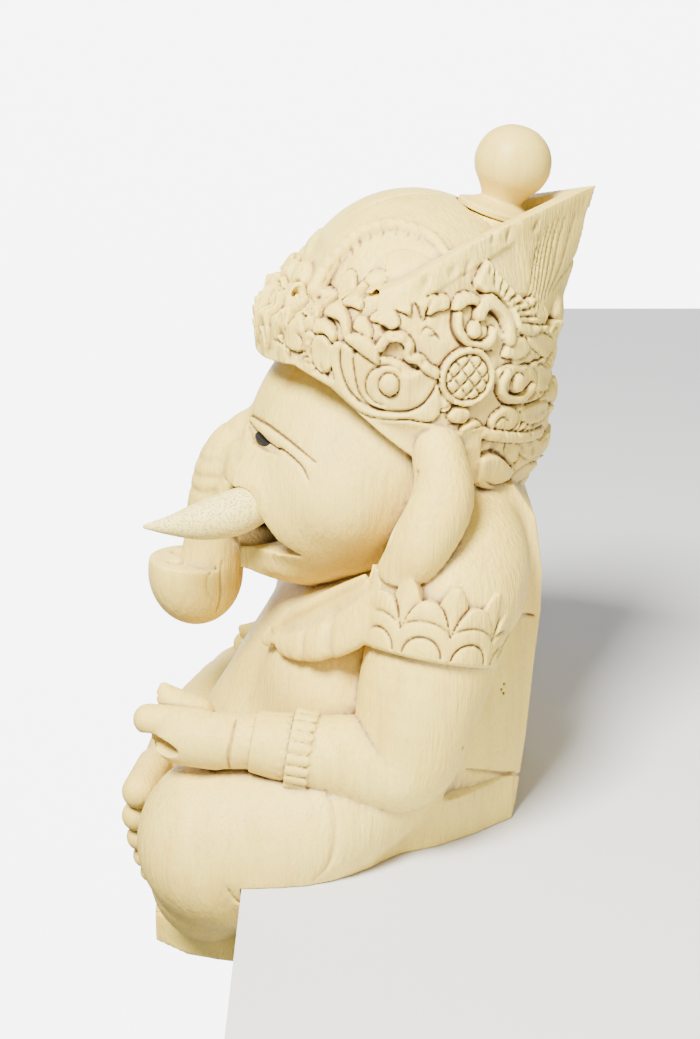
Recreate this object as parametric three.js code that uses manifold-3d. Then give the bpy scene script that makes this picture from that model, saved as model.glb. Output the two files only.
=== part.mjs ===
// Seated elephant-headed figure, carved from one block of pale wood, with two inset tusks and a glued-on
// topknot. It sits on the edge of a shelf: the seat's underside is flat at z = 0 and the legs hang in front.
// Millimetres, +Z up, the face towards -Y, the figure's left side towards +X.
import * as THREE from "three";
import { mergeVertices } from "three/addons/utils/BufferGeometryUtils.js";
import Module from "manifold-3d";

const wasm = await Module();
wasm.setup();

// Driving dimensions
const SEAT_BACK = 45; // the seat's back edge, behind the origin
const SHELF_FACE = -29; // where the seat's underside ends and the calves begin
const SOLE = -45; // the hanging foot's sole, below the seat
const GAP = 0.3; // clearance round each separate piece
const LEFT_KNEE = [50, -34, 2, 24.5]; // x, y, z and radius
const RIGHT_KNEE = [48, -27, 0, 21]; // the same, given on the left and carried to the right

// Geometry helpers

// A geometry as a solid for joining and cutting
function solid(geometry) {
  const bare = geometry.clone();
  for (const name of ["normal", "uv"]) bare.deleteAttribute(name);
  const merged = mergeVertices(bare, 1e-4);
  return new wasm.Manifold(
    new wasm.Mesh({
      numProp: 3,
      vertProperties: new Float32Array(merged.attributes.position.array),
      triVerts: new Uint32Array(merged.index.array),
    }),
  );
}

const join = (solids) => wasm.Manifold.union(solids);
const otherSide = (whole) => whole.mirror([1, 0, 0]);
const bothSides = (whole) => whole.add(otherSide(whole));
const rad = THREE.MathUtils.degToRad;
const mix = THREE.MathUtils.lerp;

// A table of [z, value] rows read at any height
function readAt(rows, z) {
  const next = rows.findIndex(([height]) => height >= z);
  if (next === 0) return rows[0][1];
  if (next < 0) return rows.at(-1)[1];
  const [[z0, v0], [z1, v1]] = [rows[next - 1], rows[next]];
  return mix(v0, v1, (z - z0) / (z1 - z0));
}

const centre = (ring) =>
  ring.reduce((sum, p) => sum.add(p), new THREE.Vector3()).divideScalar(ring.length);

// A closed skin over rings of points, one ring above another, with a point at each end
function skin(rings, start = centre(rings[0]), end = centre(rings.at(-1))) {
  const sides = rings[0].length;
  const points = [start, ...rings.flat(), end];
  const index = [];
  const at = (i, k) => 1 + i * sides + (k % sides);
  const tail = points.length - 1;
  for (let k = 0; k < sides; k++) {
    index.push(0, at(0, k + 1), at(0, k));
    index.push(tail, at(rings.length - 1, k), at(rings.length - 1, k + 1));
    for (let i = 0; i < rings.length - 1; i++) {
      index.push(at(i, k), at(i, k + 1), at(i + 1, k));
      index.push(at(i + 1, k), at(i, k + 1), at(i + 1, k + 1));
    }
  }
  const position = new Float32Array(points.flatMap((p) => p.toArray()));
  return new THREE.BufferGeometry()
    .setAttribute("position", new THREE.BufferAttribute(position, 3))
    .setIndex(index);
}

// An ellipsoid of half sizes at a place. tip turns it about X, turn about Z, roll about Y, in degrees
function egg(at, half, { tip = 0, turn = 0, roll = 0, sides = 12, rings = 8 } = {}) {
  return solid(
    new THREE.SphereGeometry(1, sides, rings)
      .rotateX(Math.PI / 2)
      .scale(...half)
      .rotateY(rad(roll))
      .rotateX(rad(tip))
      .rotateZ(rad(turn))
      .translate(...at),
  );
}

// A round-ended limb through places [x, y, z, radius], thinned along a direction by a share
function limb(places, { sides = 8, steps = 2, thin = null, share = 1 } = {}) {
  const points = places.map(([x, y, z]) => new THREE.Vector3(x, y, z));
  const path = new THREE.CatmullRomCurve3(points, false, "centripetal");
  const last = places.length - 1;
  const radiusAt = (t) => {
    const i = Math.min(Math.floor(t * last), last - 1);
    return mix(places[i][3], places[i + 1][3], t * last - i);
  };
  const squash = thin && new THREE.Vector3(...thin).normalize();
  const side = new THREE.Vector3();
  // lean is the angle towards either end on the rounded caps, and 0 between them
  const ring = (t, lean) => {
    const tangent = path.getTangent(t);
    if (side.lengthSq() < 0.5) {
      const start = Math.abs(tangent.x) > 0.8 ? [0, 0, 1] : [1, 0, 0];
      side.set(...start);
    }
    side.addScaledVector(tangent, -side.dot(tangent)).normalize();
    const up = tangent.clone().cross(side);
    const radius = radiusAt(t);
    const reach = squash ? radius * mix(share, 1, 1 - Math.abs(squash.dot(tangent))) : radius;
    const middle = path.getPoint(t).addScaledVector(tangent, reach * Math.sin(lean));
    return Array.from({ length: sides }, (_, k) => {
      const angle = (2 * Math.PI * k) / sides;
      const spoke = side.clone().multiplyScalar(Math.cos(angle));
      spoke.addScaledVector(up, Math.sin(angle)).multiplyScalar(radius * Math.cos(lean));
      if (squash) spoke.addScaledVector(squash, (share - 1) * spoke.dot(squash));
      return spoke.add(middle);
    });
  };
  const rings = [ring(0, -0.8)];
  for (let k = 0; k <= last * steps; k++) rings.push(ring(k / (last * steps), 0));
  rings.push(ring(1, 0.8));
  return solid(skin(rings, centre(ring(0, -Math.PI / 2)), centre(ring(1, Math.PI / 2))));
}

// A flat outline of [x, y] points raised from z = low to z = high
function slab(outline, low, high, bevel = 0) {
  const shape = new THREE.Shape(outline.map(([x, y]) => new THREE.Vector2(x, y)));
  return new THREE.ExtrudeGeometry(shape, {
    depth: high - low - 2 * bevel,
    bevelEnabled: bevel > 0,
    bevelThickness: bevel,
    bevelSize: bevel,
    bevelOffset: -bevel,
    bevelSegments: 1,
  }).translate(0, 0, low + bevel);
}

// A side-view outline of [y, z] points carried from x = low to x = high
const sideSlab = (outline, low, high, bevel = 0) =>
  solid(slab(outline, low, high, bevel).rotateX(Math.PI / 2).rotateZ(Math.PI / 2));

// The lower body: seat, folded thighs, shins and feet

function seat() {
  // The left half of the flat underside's outline, from the back to the knee
  const half = [
    [34, SEAT_BACK],
    [44, 34],
    [51, 24],
    [55, 14],
    [63, 5],
    [68, -5],
    [69, -15],
    [64, SHELF_FACE],
  ];
  const outline = [...half.map(([x, y]) => [-x, y]), ...half.reverse()];
  return solid(slab(outline, -6, 14, 2));
}

function thigh(knee) {
  return limb([[46, 12, 20, 15], [56, -8, 12, 18], knee], { sides: 11 });
}

// The raised edge of the cloth, where the bare thigh comes out of it
const hem = () =>
  limb([[62, 0, 22, 4], [67.5, -6, 12, 3.6], [68, -13, 2, 3.6]], { sides: 6, steps: 1 });

// The left shin hangs down and inwards from the knee, and its foot points forward
function hangingLeg() {
  const shin = limb([[50, -33, 1, 22], [43, -39, -14, 17], [31, -40, -30, 10]], { sides: 8 });
  const foot = limb([[35, -37, -37, 8], [29, -45, -36.5, 8.6], [24, -51, -38.5, 7.5]], { sides: 7 });
  const toes = [0, 1, 2, 3, 4].map((k) => {
    const size = 4.6 - 0.35 * k;
    const out = 14 + 4.4 * k;
    return egg([out, -55.5 + 1.3 * k, -40.6], [size * 0.75, 7, size], { turn: -12, sides: 5, rings: 4 });
  });
  const floor = sideSlab([[-90, SOLE - 20], [10, SOLE - 20], [10, SOLE], [-90, SOLE]], -80, 80);
  return join([shin, foot, ...toes]).subtract(floor);
}

// The right shin crosses in front, and its foot stands on edge before the left knee, toes outwards
function crossedLeg() {
  const shin = limb([[-46, -31, -1, 21], [-28, -45, -3, 16], [-8, -51, -5, 13]], { sides: 10 });
  const foot = limb(
    [[-8, -52, -5, 13], [4, -56, -5, 14], [16, -58, -6, 14]],
    { thin: [0, 1, 0], share: 0.55 },
  );
  let top = 12;
  const toes = [5.4, 4.4, 3.6, 3.1, 2.5].map((size, k) => {
    const z = top - size;
    top -= 2 * size - 0.8;
    const back = 2 * Math.abs(k - 1.3);
    return limb(
      [
        [14, -59 + back, z, size],
        [30 - 2 * k, -61.5 + back, z - 0.5, size],
      ],
      { sides: 5, steps: 1 },
    );
  });
  return join([shin, foot, ...toes]);
}

// The upper body

// The flat back in side view, as [y, z], from the seat to the nape
const BACK_LINE = [[46, -4], [47.5, 4], [50, 25], [51.5, 45], [53, 62], [53, 74], [51, 88]];

function torso() {
  const barrel = egg([0, 18, 36], [46, 37, 52], { sides: 12, rings: 6 });
  const belly = egg([0, 8, 12], [47, 48, 49], { sides: 14, rings: 8 });
  const paunch = egg([0, -10, 12], [40, 35, 24], { sides: 12, rings: 6 });
  const core = [[20, -4], ...BACK_LINE, [44, 98], [20, 98]];
  const behind = [...BACK_LINE, [53, 120], [99, 120], [99, -4]];
  return join([barrel, belly, paunch, sideSlab(core, -31, 31, 5)])
    .subtract(sideSlab(behind, -60, 60));
}

function arm({ shoulder, elbow, wrist }) {
  const between = (a, b, out) => [(a[0] + b[0]) / 2 + out, (a[1] + b[1]) / 2, (a[2] + b[2]) / 2];
  const places = [
    [...shoulder, 19],
    [...between(shoulder, elbow, 3), 17],
    [...elbow, 14.5],
    [...between(elbow, wrist, 3), 11.5],
    [...wrist, 8.4],
  ];
  return limb(places, { sides: 10 });
}

const LEFT_ARM = {
  shoulder: [46, 26, 72],
  elbow: [56, 13, 29.5],
  wrist: [58, -25, 35],
  band: [53, 20.5, 59], // the middle of its armband
};
const RIGHT_ARM = {
  shoulder: [46, 27, 72],
  elbow: [58, 19, 40],
  wrist: [56, -8, 34],
  band: [53, 22, 61],
};
const BAND_AXIS = [0.24, -0.18, -0.95]; // down through an armband

// A hand at a wrist, tipped down in degrees: a blunt first finger, the others curled below, the thumb up
function hand({ wrist }, tip = 0) {
  const palm = limb([[58, -25, 35, 8.5], [55, -40, 34, 9], [52, -50, 34, 8]], {
    sides: 8,
    steps: 1,
    thin: [1, 0, 0],
    share: 0.85,
  });
  const finger = limb([[53, -42, 38, 5.5], [50, -56, 38, 5.2]], { sides: 6, steps: 1 });
  const curled = limb([[55, -38, 30, 6], [52, -50, 30, 5]], { sides: 6, steps: 1 });
  const thumb = limb(
    [[48, -44, 38, 4.5], [45, -51, 42, 3.5], [45, -52, 44.5, 1.6]],
    { sides: 5, steps: 1 },
  );
  return join([palm, finger, curled, thumb])
    .translate(LEFT_ARM.wrist.map((v) => -v))
    .rotate([tip, 0, 0])
    .translate(wrist);
}

// A band round the upper arm, its upper edge a row of leaf points
function armband({ band }, sides) {
  const axis = new THREE.Vector3(...BAND_AXIS).normalize();
  const turn = new THREE.Quaternion().setFromUnitVectors(new THREE.Vector3(0, 0, -1), axis);
  const ring = (radius, low, high) => Array.from({ length: sides }, (_, k) => {
    const angle = (2 * Math.PI * k) / sides;
    const z = mix(low, high, Math.abs(Math.sin(3.5 * angle + 0.6)));
    return new THREE.Vector3(radius * Math.cos(angle), radius * Math.sin(angle), z);
  });
  const leaves = skin([ring(19.2, -3, -3), ring(19.8, 2, 2), ring(19.8, 6, 15)]);
  return solid(leaves.applyQuaternion(turn).translate(...band));
}

// A cuff at the wrist, its upper edge cut into scallops
function cuff({ elbow, wrist }, sides) {
  const from = new THREE.Vector3(...wrist);
  const axis = new THREE.Vector3(...elbow).sub(from).normalize();
  const turn = new THREE.Quaternion().setFromUnitVectors(new THREE.Vector3(0, 0, 1), axis);
  const place = (geometry) => solid(geometry.applyQuaternion(turn).translate(...from.toArray()));
  const band = place(new THREE.CylinderGeometry(10.8, 9.2, 15, 8).rotateX(Math.PI / 2).translate(0, 0, 7));
  const scallops = Array.from({ length: sides }, (_, k) => {
    const angle = (2 * Math.PI * k) / sides;
    const radius = 11.2 + 1.6 * Math.abs(Math.sin(5 * angle));
    return [radius * Math.cos(angle), radius * Math.sin(angle)];
  });
  return band.add(place(slab(scallops, 12.5, 16.5)));
}

// The head

function skull() {
  const head = egg([0, 10, 104], [45, 38, 36], { sides: 12, rings: 6 });
  const cheek = egg([0, -2, 96], [47, 28, 27], { sides: 14, rings: 8 });
  const jaw = egg([0, -6, 83], [37, 27, 18], { sides: 12, rings: 6 });
  const lip = bothSides(
    limb([[11, -26, 98, 9], [21, -24, 95, 9.5], [30, -14, 89, 9]], { sides: 6, steps: 1 }),
  );
  const chin = egg([0, -13, 73], [29, 19, 9], { sides: 10, rings: 4 });
  return join([head, cheek, jaw, chin, lip]);
}

// The open corner of the mouth, where a tusk comes out
function mouth() {
  const outline = [
    [-13, 78.8], [-28, 79.3], [-60, 78], [-60, 93],
    [-33, 96.5], [-28.5, 96], [-24.5, 90.5], [-19.3, 84],
  ];
  return bothSides(sideSlab(outline, 11, 60));
}

// The raised trunk: down between the tusks, forward and up to a flat end with two nostrils
function nose() {
  const fall = limb(
    [
      [0, -18, 104, 11],
      [0, -29, 95, 13.5],
      [0, -35.5, 84, 11],
      [0, -38.5, 73, 9.4],
      [0, -41, 62, 9.2],
    ],
    { sides: 10 },
  );
  const curl = egg([0, -45, 62.5], [12.5, 13.8, 16], { sides: 10, rings: 8 });
  const top = sideSlab([[-70, 68], [-38, 66], [-38, 82], [-70, 82]], -20, 20);
  const nostril = bothSides(egg([4.5, -50, 67], [2.2, 3, 4], { sides: 6, rings: 4 }));
  return fall.add(curl.subtract(top)).subtract(nostril);
}

function ear() {
  const shell = limb(
    [[46, 23, 111, 8], [52, 24, 101, 9], [57, 18, 90, 8.5], [58, 13, 80, 7.5]],
    { sides: 8, steps: 1, thin: [-0.3, 1, 0.3], share: 0.85 },
  );
  const root = limb([[38, 20, 108, 9], [44, 17, 92, 9], [46, 10, 78, 8]], { sides: 6, steps: 1 });
  // The lobe sweeps forward over the chest to a point, with a waved hem
  const lobe = limb(
    [[58, 10, 77, 8], [51, 0, 67, 9.5], [42, -11, 60, 8.5], [30, -22, 54, 3]],
    { sides: 6, steps: 1, thin: [0.5, -0.6, 0.62], share: 0.42 },
  );
  return join([shell, root, lobe]);
}

// The crown

// How far the crown's wall reaches, at each height: half width, front and back
const CROWN_HALF = [
  [86, 40], [100, 44], [112, 48.5], [132, 50],
  [142, 49.5], [152, 46], [162, 42], [178, 37],
];
const CROWN_FRONT = [
  [86, -12], [110, -22], [128, -26], [142, -26.5],
  [152, -21], [162, -12], [178, 0],
];
const CROWN_BACK = [
  [86, 43], [95, 49], [103, 54], [118, 56],
  [136, 57], [151, 61.5], [168, 65.5], [178, 68],
];

const CROWN_WIDEST = 14; // y of the crown's widest place

// x of the crown's wall at a y and a height: an oval, drawn out to a point behind towards the top
function wallAt(y, z) {
  const end = readAt(y > CROWN_WIDEST ? CROWN_BACK : CROWN_FRONT, z);
  const s = Math.min(1, (y - CROWN_WIDEST) / (end - CROWN_WIDEST));
  const round = Math.sqrt(1 - s * s);
  const sharp = Math.pow(1 - Math.pow(s, 1.6), 1.1);
  const pointed = y > CROWN_WIDEST ? THREE.MathUtils.smoothstep(z, 128, 166) : 0;
  return readAt(CROWN_HALF, z) * mix(round, sharp, pointed);
}

function crownRing(z, sides) {
  return Array.from({ length: sides }, (_, k) => {
    const angle = (2 * Math.PI * k) / sides;
    const along = Math.sin(angle);
    const end = readAt(along > 0 ? CROWN_BACK : CROWN_FRONT, z);
    const y = mix(CROWN_WIDEST, end, Math.abs(along));
    return new THREE.Vector3(Math.sign(Math.cos(angle)) * wallAt(y, z), y, z);
  });
}

// The rim's line and the ridge's line in side view, as [y, z]
const RIM_LINE = [
  [-45, 129], [-26, 130], [-15, 132], [-5, 128], [8, 117],
  [18, 109], [32, 99], [44, 91], [75, 88],
];
const RIDGE_LINE = [[-60, 130], [12.6, 155], [26, 161.5], [40, 166.5], [67.5, 174.3], [90, 180]];

function crownWall() {
  const heights = Array.from({ length: 7 }, (_, i) => 86 + 15.6 * i);
  const column = solid(skin(heights.map((z) => crownRing(z, 18))));
  const below = sideSlab([[-60, 60], [80, 60], ...RIM_LINE.toReversed()], -60, 60);
  const above = sideSlab([...RIDGE_LINE, [90, 200], [-60, 200]], -60, 60);
  return column.subtract(below).subtract(above);
}

// The crown's carving, laid on the wall in side view and repeated on the other side

// A scroll: a tapering roll that winds in round a place, from a first angle in degrees
function scroll([y, z], [wide, narrow], first, turns, [thick, fine] = [2.4, 1.6]) {
  const count = Math.round(8 * Math.abs(turns));
  const places = Array.from({ length: count + 1 }, (_, i) => {
    const t = i / count;
    const angle = rad(first) + 2 * Math.PI * turns * t;
    const r = mix(wide, narrow, Math.pow(t, 0.75));
    const at = [y + r * Math.cos(angle), z + r * Math.sin(angle)];
    return [wallAt(...at) + 0.6, ...at, mix(thick, fine, t)];
  });
  return limb(places, { sides: 4, steps: 1 });
}

// A form made at the origin, standing out along +X, set square on the wall at a place
function onWall([y, z], geometry) {
  const turn = Math.atan2(wallAt(y - 1, z) - wallAt(y + 1, z), 2);
  return solid(geometry.rotateZ(turn).translate(wallAt(y, z), y, z));
}

// A leaf or boss: an egg standing on the wall, long in the direction given in degrees
function leaf(at, [long, wide, proud], direction = 90) {
  const shape = new THREE.SphereGeometry(1, 6, 4).rotateX(Math.PI / 2).scale(proud, wide, long);
  return onWall(at, shape.rotateX(rad(direction - 90)));
}

// A raised fan of lobes: its middle, radius, first and last angle in degrees, how many lobes
function fan(at, radius, first, last, lobes, proud = 2.6) {
  const count = 3 * lobes;
  const edge = Array.from({ length: count + 1 }, (_, k) => {
    const angle = rad(mix(first, last, k / count));
    const r = radius * (0.82 + 0.2 * Math.abs(Math.sin((Math.PI * lobes * k) / count)));
    return [r * Math.cos(angle), r * Math.sin(angle)];
  });
  const flat = slab([[0, 0], ...edge], -4, proud);
  return onWall(at, flat.rotateX(Math.PI / 2).rotateZ(Math.PI / 2));
}

function medallion() {
  const at = [30, 130.6];
  const disc = new THREE.CylinderGeometry(6.4, 8, 4.6, 8).rotateZ(-Math.PI / 2).scale(1, 1, 0.88);
  return onWall(at, disc).add(leaf(at, [4.6, 5, 3.4]));
}

function carving() {
  return join([
    scroll([11, 130.5], [13, 2], 140, 1.35, [2.2, 2.4]),
    scroll([33, 143.5], [8, 1.2], 130, 0.9, [2.2, 2.4]),
    fan([35, 143], 17, 108, -32, 6),
    fan([40, 106], 14, 125, -80, 5),
    leaf([44.5, 126], [4.2, 4.2, 4]),
    leaf([40, 103], [4.5, 4.5, 4.4]),
    leaf([-9, 143], [7, 5, 2.8], 60),
    leaf([-7, 152], [6, 4, 2.8], 60),
    leaf([12, 146], [6, 4.5, 2.4], 50),
    medallion(),
  ]);
}

// The diadem's upright leaves round the front, and a taller one behind the middle of them
function diademLeaves() {
  const upright = (out, high, half, angle) => {
    const shape = new THREE.SphereGeometry(1, 6, 4).rotateX(Math.PI / 2).scale(...half);
    return solid(shape.rotateX(rad(-16)).translate(0, -out, high).rotateZ(angle).translate(0, 12, 0));
  };
  const front = [0, 0.45, 0.9, -0.45, -0.9].map((angle) =>
    upright(34.8 - 3 * Math.abs(angle), 141.5 + 3 * Math.abs(angle), [6.5, 4, 9.5], angle));
  return join([...front, upright(22, 152, [7, 5, 10.5], 0)]);
}

// Scallops down the middle of the back
const backLobes = () =>
  join([131, 107].map((z) => egg([0, readAt(CROWN_BACK, z) - 2, z], [16, 4.5, 11], { sides: 6, rings: 6 })));

function crown() {
  const dome = egg([0, 17, 140], [41, 33, 33], { sides: 12, rings: 8 });
  // The arched band over the bald side of the dome
  const arch = limb(
    [[33, -4, 154, 2.4], [27, 0, 161, 2.4], [23, 8, 167, 2.2], [24, 17, 167, 2], [29, 26, 160, 1.4]],
    { sides: 5, steps: 1 },
  );
  const wall = join([crownWall(), bothSides(carving()), diademLeaves(), backLobes()]);
  return join([wall.subtract(hollow()), dome, bothSides(arch), topknotPad()]);
}

// The trough between the two ridges, which the topknot stands in
function hollow() {
  const inner = (z) => crownRing(z, 12).map((p) => new THREE.Vector3(0.84 * p.x, mix(34, p.y, 0.84), z));
  return solid(skin([inner(160), inner(190)]));
}

// The topknot leans back with the crown and stands in the hollow behind the dome
const TOPKNOT_FOOT = [0, 39.9, 166];
const TOPKNOT_LEAN = 17;

const stood = (geometry) =>
  solid(geometry.rotateX(Math.PI / 2).rotateX(rad(-TOPKNOT_LEAN)).translate(...TOPKNOT_FOOT));

function topknot() {
  const profile = [
    [0, 0],
    [10.2, 0.2],
    [11.4, 1.3],
    [10.8, 2.5],
    [5.7, 4.2],
    [7.4, 7.2],
    [9.3, 10],
    [10.5, 14],
    [9.8, 18.2],
    [7, 22],
    [3.4, 24.2],
    [0, 24.8],
  ].map(([r, z]) => new THREE.Vector2(r, z));
  return stood(new THREE.LatheGeometry(profile, 12));
}

// The low round pad that the topknot's collar rests on
const topknotPad = () => stood(new THREE.CylinderGeometry(10.6, 10.6, 10, 12).translate(0, -4.5, 0));

// The well cleared for the topknot, a little wider and deeper than its collar
const topknotWell = () => stood(new THREE.CylinderGeometry(12, 12, 30, 12).translate(0, 15 - GAP, 0));

// The left tusk: fat in the middle, drawn out to a thin tip that points forward and outwards
const TUSK = [
  [25, -14, 92, 4.6],
  [26.5, -22, 91, 5.8],
  [28.2, -31, 88.9, 6.5],
  [30, -40, 87.6, 5.2],
  [31.3, -48.5, 86.7, 2.7],
  [32, -55.4, 86.6, 0.7],
];

function tusk(grow = 0) {
  return limb(TUSK.map(([x, y, z, r]) => [x, y, z, r + grow]), { steps: 1 });
}

// The right tusk is broken off short: the same, cut across before its tip
function brokenTusk() {
  const tip = sideSlab([[-70, 70], [-33, 70], [-31, 104], [-70, 104]], 0, 60);
  return otherSide(tusk().subtract(tip));
}

function figure() {
  const body = join([
    seat(),
    torso(),
    thigh(LEFT_KNEE),
    otherSide(thigh(RIGHT_KNEE)),
    hangingLeg(),
    crossedLeg(),
    arm(LEFT_ARM),
    otherSide(arm(RIGHT_ARM)),
    hand(LEFT_ARM),
    otherSide(hand(RIGHT_ARM, 34)),
    armband(LEFT_ARM, 24),
    otherSide(armband(RIGHT_ARM, 14)),
    cuff(LEFT_ARM, 20),
    otherSide(cuff(RIGHT_ARM, 10)),
    bothSides(hem()),
  ]);
  // The shelf's corner is cut away from under the seat, leaving it flat
  const shelf = sideSlab([[SHELF_FACE, -60], [90, -60], [90, 0], [SHELF_FACE, 0]], -90, 90);
  const head = join([skull(), crown()]).subtract(mouth());
  return join([body.subtract(shelf), head, nose(), bothSides(ear())]);
}

function named(name, geometry, color) {
  const mesh = new THREE.Mesh(geometry, new THREE.MeshStandardMaterial({ color, roughness: 0.7 }));
  mesh.name = name;
  return mesh;
}

function fromSolid(whole) {
  const { vertProperties, triVerts, numProp } = whole.getMesh();
  const geometry = new THREE.BufferGeometry();
  const points = new Float32Array((vertProperties.length / numProp) * 3);
  for (let i = 0; i < points.length / 3; i++)
    for (let j = 0; j < 3; j++) points[3 * i + j] = vertProperties[numProp * i + j];
  geometry.setAttribute("position", new THREE.BufferAttribute(points, 3));
  geometry.setIndex(new THREE.BufferAttribute(triVerts, 1));
  geometry.computeVertexNormals();
  return geometry;
}

// The outer skin alone, so no closed hollow is left where forms meet
const outerSkin = (whole) => whole.decompose().toSorted((a, b) => b.volume() - a.volume())[0];

const carved = outerSkin(figure()).subtract(bothSides(tusk(GAP))).subtract(topknotWell());

const group = new THREE.Group();
group.add(named("figure", fromSolid(carved), "#e6d8ad"));
group.add(named("topknot", fromSolid(topknot()), "#e3d3a2"));
group.add(named("tusk_left", fromSolid(tusk()), "#eee2c4"));
group.add(named("tusk_right", fromSolid(brokenTusk()), "#eee2c4"));
export default group;
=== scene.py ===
import math
from collections import namedtuple

import bmesh
import bpy
import numpy as np
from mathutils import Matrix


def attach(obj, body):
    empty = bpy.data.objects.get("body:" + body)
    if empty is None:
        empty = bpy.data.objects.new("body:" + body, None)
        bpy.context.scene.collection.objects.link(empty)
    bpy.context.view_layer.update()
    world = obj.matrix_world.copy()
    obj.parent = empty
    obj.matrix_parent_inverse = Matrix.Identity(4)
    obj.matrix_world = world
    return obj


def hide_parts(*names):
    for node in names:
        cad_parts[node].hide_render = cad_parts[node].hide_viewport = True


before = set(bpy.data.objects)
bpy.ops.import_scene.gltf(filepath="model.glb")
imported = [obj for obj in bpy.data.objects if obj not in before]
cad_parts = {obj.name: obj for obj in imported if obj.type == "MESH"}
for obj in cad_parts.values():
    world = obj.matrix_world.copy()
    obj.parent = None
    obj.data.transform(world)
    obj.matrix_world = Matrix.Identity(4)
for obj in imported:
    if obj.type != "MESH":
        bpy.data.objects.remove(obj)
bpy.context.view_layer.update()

import openvdb
from mathutils import Vector

MM = 0.001

# The lattice that the forms are worked out on, and the meshes made from it
VOXEL = 0.4
FAR = 30.0  # the distance written where no form is near
SKIN = 0.01  # the surface lies this far out, so no lattice point is exactly on it
MARGIN = 6.0  # how far outside a limb its distance is still worked out
FIGURE_TRIANGLES = 190000
LEFT_TUSK_TRIANGLES = 14000
RIGHT_TUSK_TRIANGLES = 10000

# The body. A knee is x, y, z and radius, and what is on the right is given on the left and carried over
SHELF_FACE = -29  # y where the seat's underside ends and the calves begin
LEFT_KNEE = (50, -34, 2, 24.5)
RIGHT_KNEE = (48, -27, 0, 21)

# An arm is its shoulder, elbow, wrist and the middle of its band's lower edge
LEFT_ARM = ((46, 26, 72), (56, 13, 29.5), (58, -25, 35), (53, 20.5, 59))
RIGHT_ARM = ((46, 27, 72), (58, 19, 40), (56, -8, 34), (53, 22, 61))
RIGHT_HAND_TIP = 34  # how far the right hand is tipped down, in degrees
HAND_SHIFT = (0, 2, 0)  # the hand is drawn too far forward, and this brings it back onto the wrist
BAND_AXIS = np.array((0.24, -0.18, -0.95))  # down through an armband, along the upper arm
BAND_LEAVES = 9
BAND_RADIUS = 18.3
CUFF_PETALS = 20

# The left tusk from its root to its tip, as x, y, z and radius
TUSK = [(25, -14, 93.6, 3.8), (26.5, -22, 92.8, 4.9), (28.2, -31, 89.5, 6.3), (30, -40, 87.6, 5.2),
        (31.3, -48.5, 86.7, 2.7), (32, -55.4, 86.6, 0.7)]
TUSK_GAP = 0.3

# The crown's wall: its half width, front and back as (z, value), and its rim and ridge in side view
CROWN_HALF = [(86, 40), (100, 44), (112, 48.5), (132, 50), (142, 49.5), (152, 46), (162, 42), (178, 37)]
CROWN_FRONT = [(86, -12), (110, -22), (128, -26), (142, -26.5), (152, -21), (162, -12), (178, 0)]
CROWN_BACK = [(86, 43), (95, 49), (103, 54), (118, 56), (136, 57), (151, 61.5), (168, 65.5), (178, 68)]
CROWN_WIDEST = 14  # y of the wall's widest place
RIM_LINE = [(-45, 129), (-26, 130), (-15, 132), (-5, 128), (8, 117), (18, 109), (32, 99), (44, 91), (75, 88)]
RIDGE_LINE = [(-60, 130), (12.6, 155), (26, 161.5), (40, 166.5), (67.5, 174.3), (90, 180)]
ROUND = 47.0  # mm of the relief's map for each radian round the crown
WALL_THICK = 5.5
HOLLOW_FLOOR = 158  # z of the floor behind the dome at y = 0
FLOOR_RISE = 0.06  # how much the floor rises for each mm backwards
RELIEF_SHARE = 0.93  # the share of the map's heights that is carved

# The topknot leans back with the crown and stands in the hollow behind the dome
TOPKNOT_FOOT = np.array((0, 39.9, 166))
TOPKNOT_LEAN = 17
TOPKNOT_SIDES = 96

# The camera in metres, and its focal length in pixels of an image of this height
CAMERA_PLACE = (0.494549, 0, 0.238888)
CAMERA_TARGET = (0, 0, 0.078199)
FOCAL_PIXELS = 1800
IMAGE_HEIGHT = 1039
SENSOR = 36


# Distance fields

Form = namedtuple("Form", "low high distance")


def smooth_min(a, b, blend):
    """The lesser of two distances, rounded where they meet"""
    if blend <= 0:
        return np.minimum(a, b)
    near = np.maximum(blend - np.abs(a - b), 0) / blend
    return np.minimum(a, b) - near * near * blend * 0.25


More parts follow.
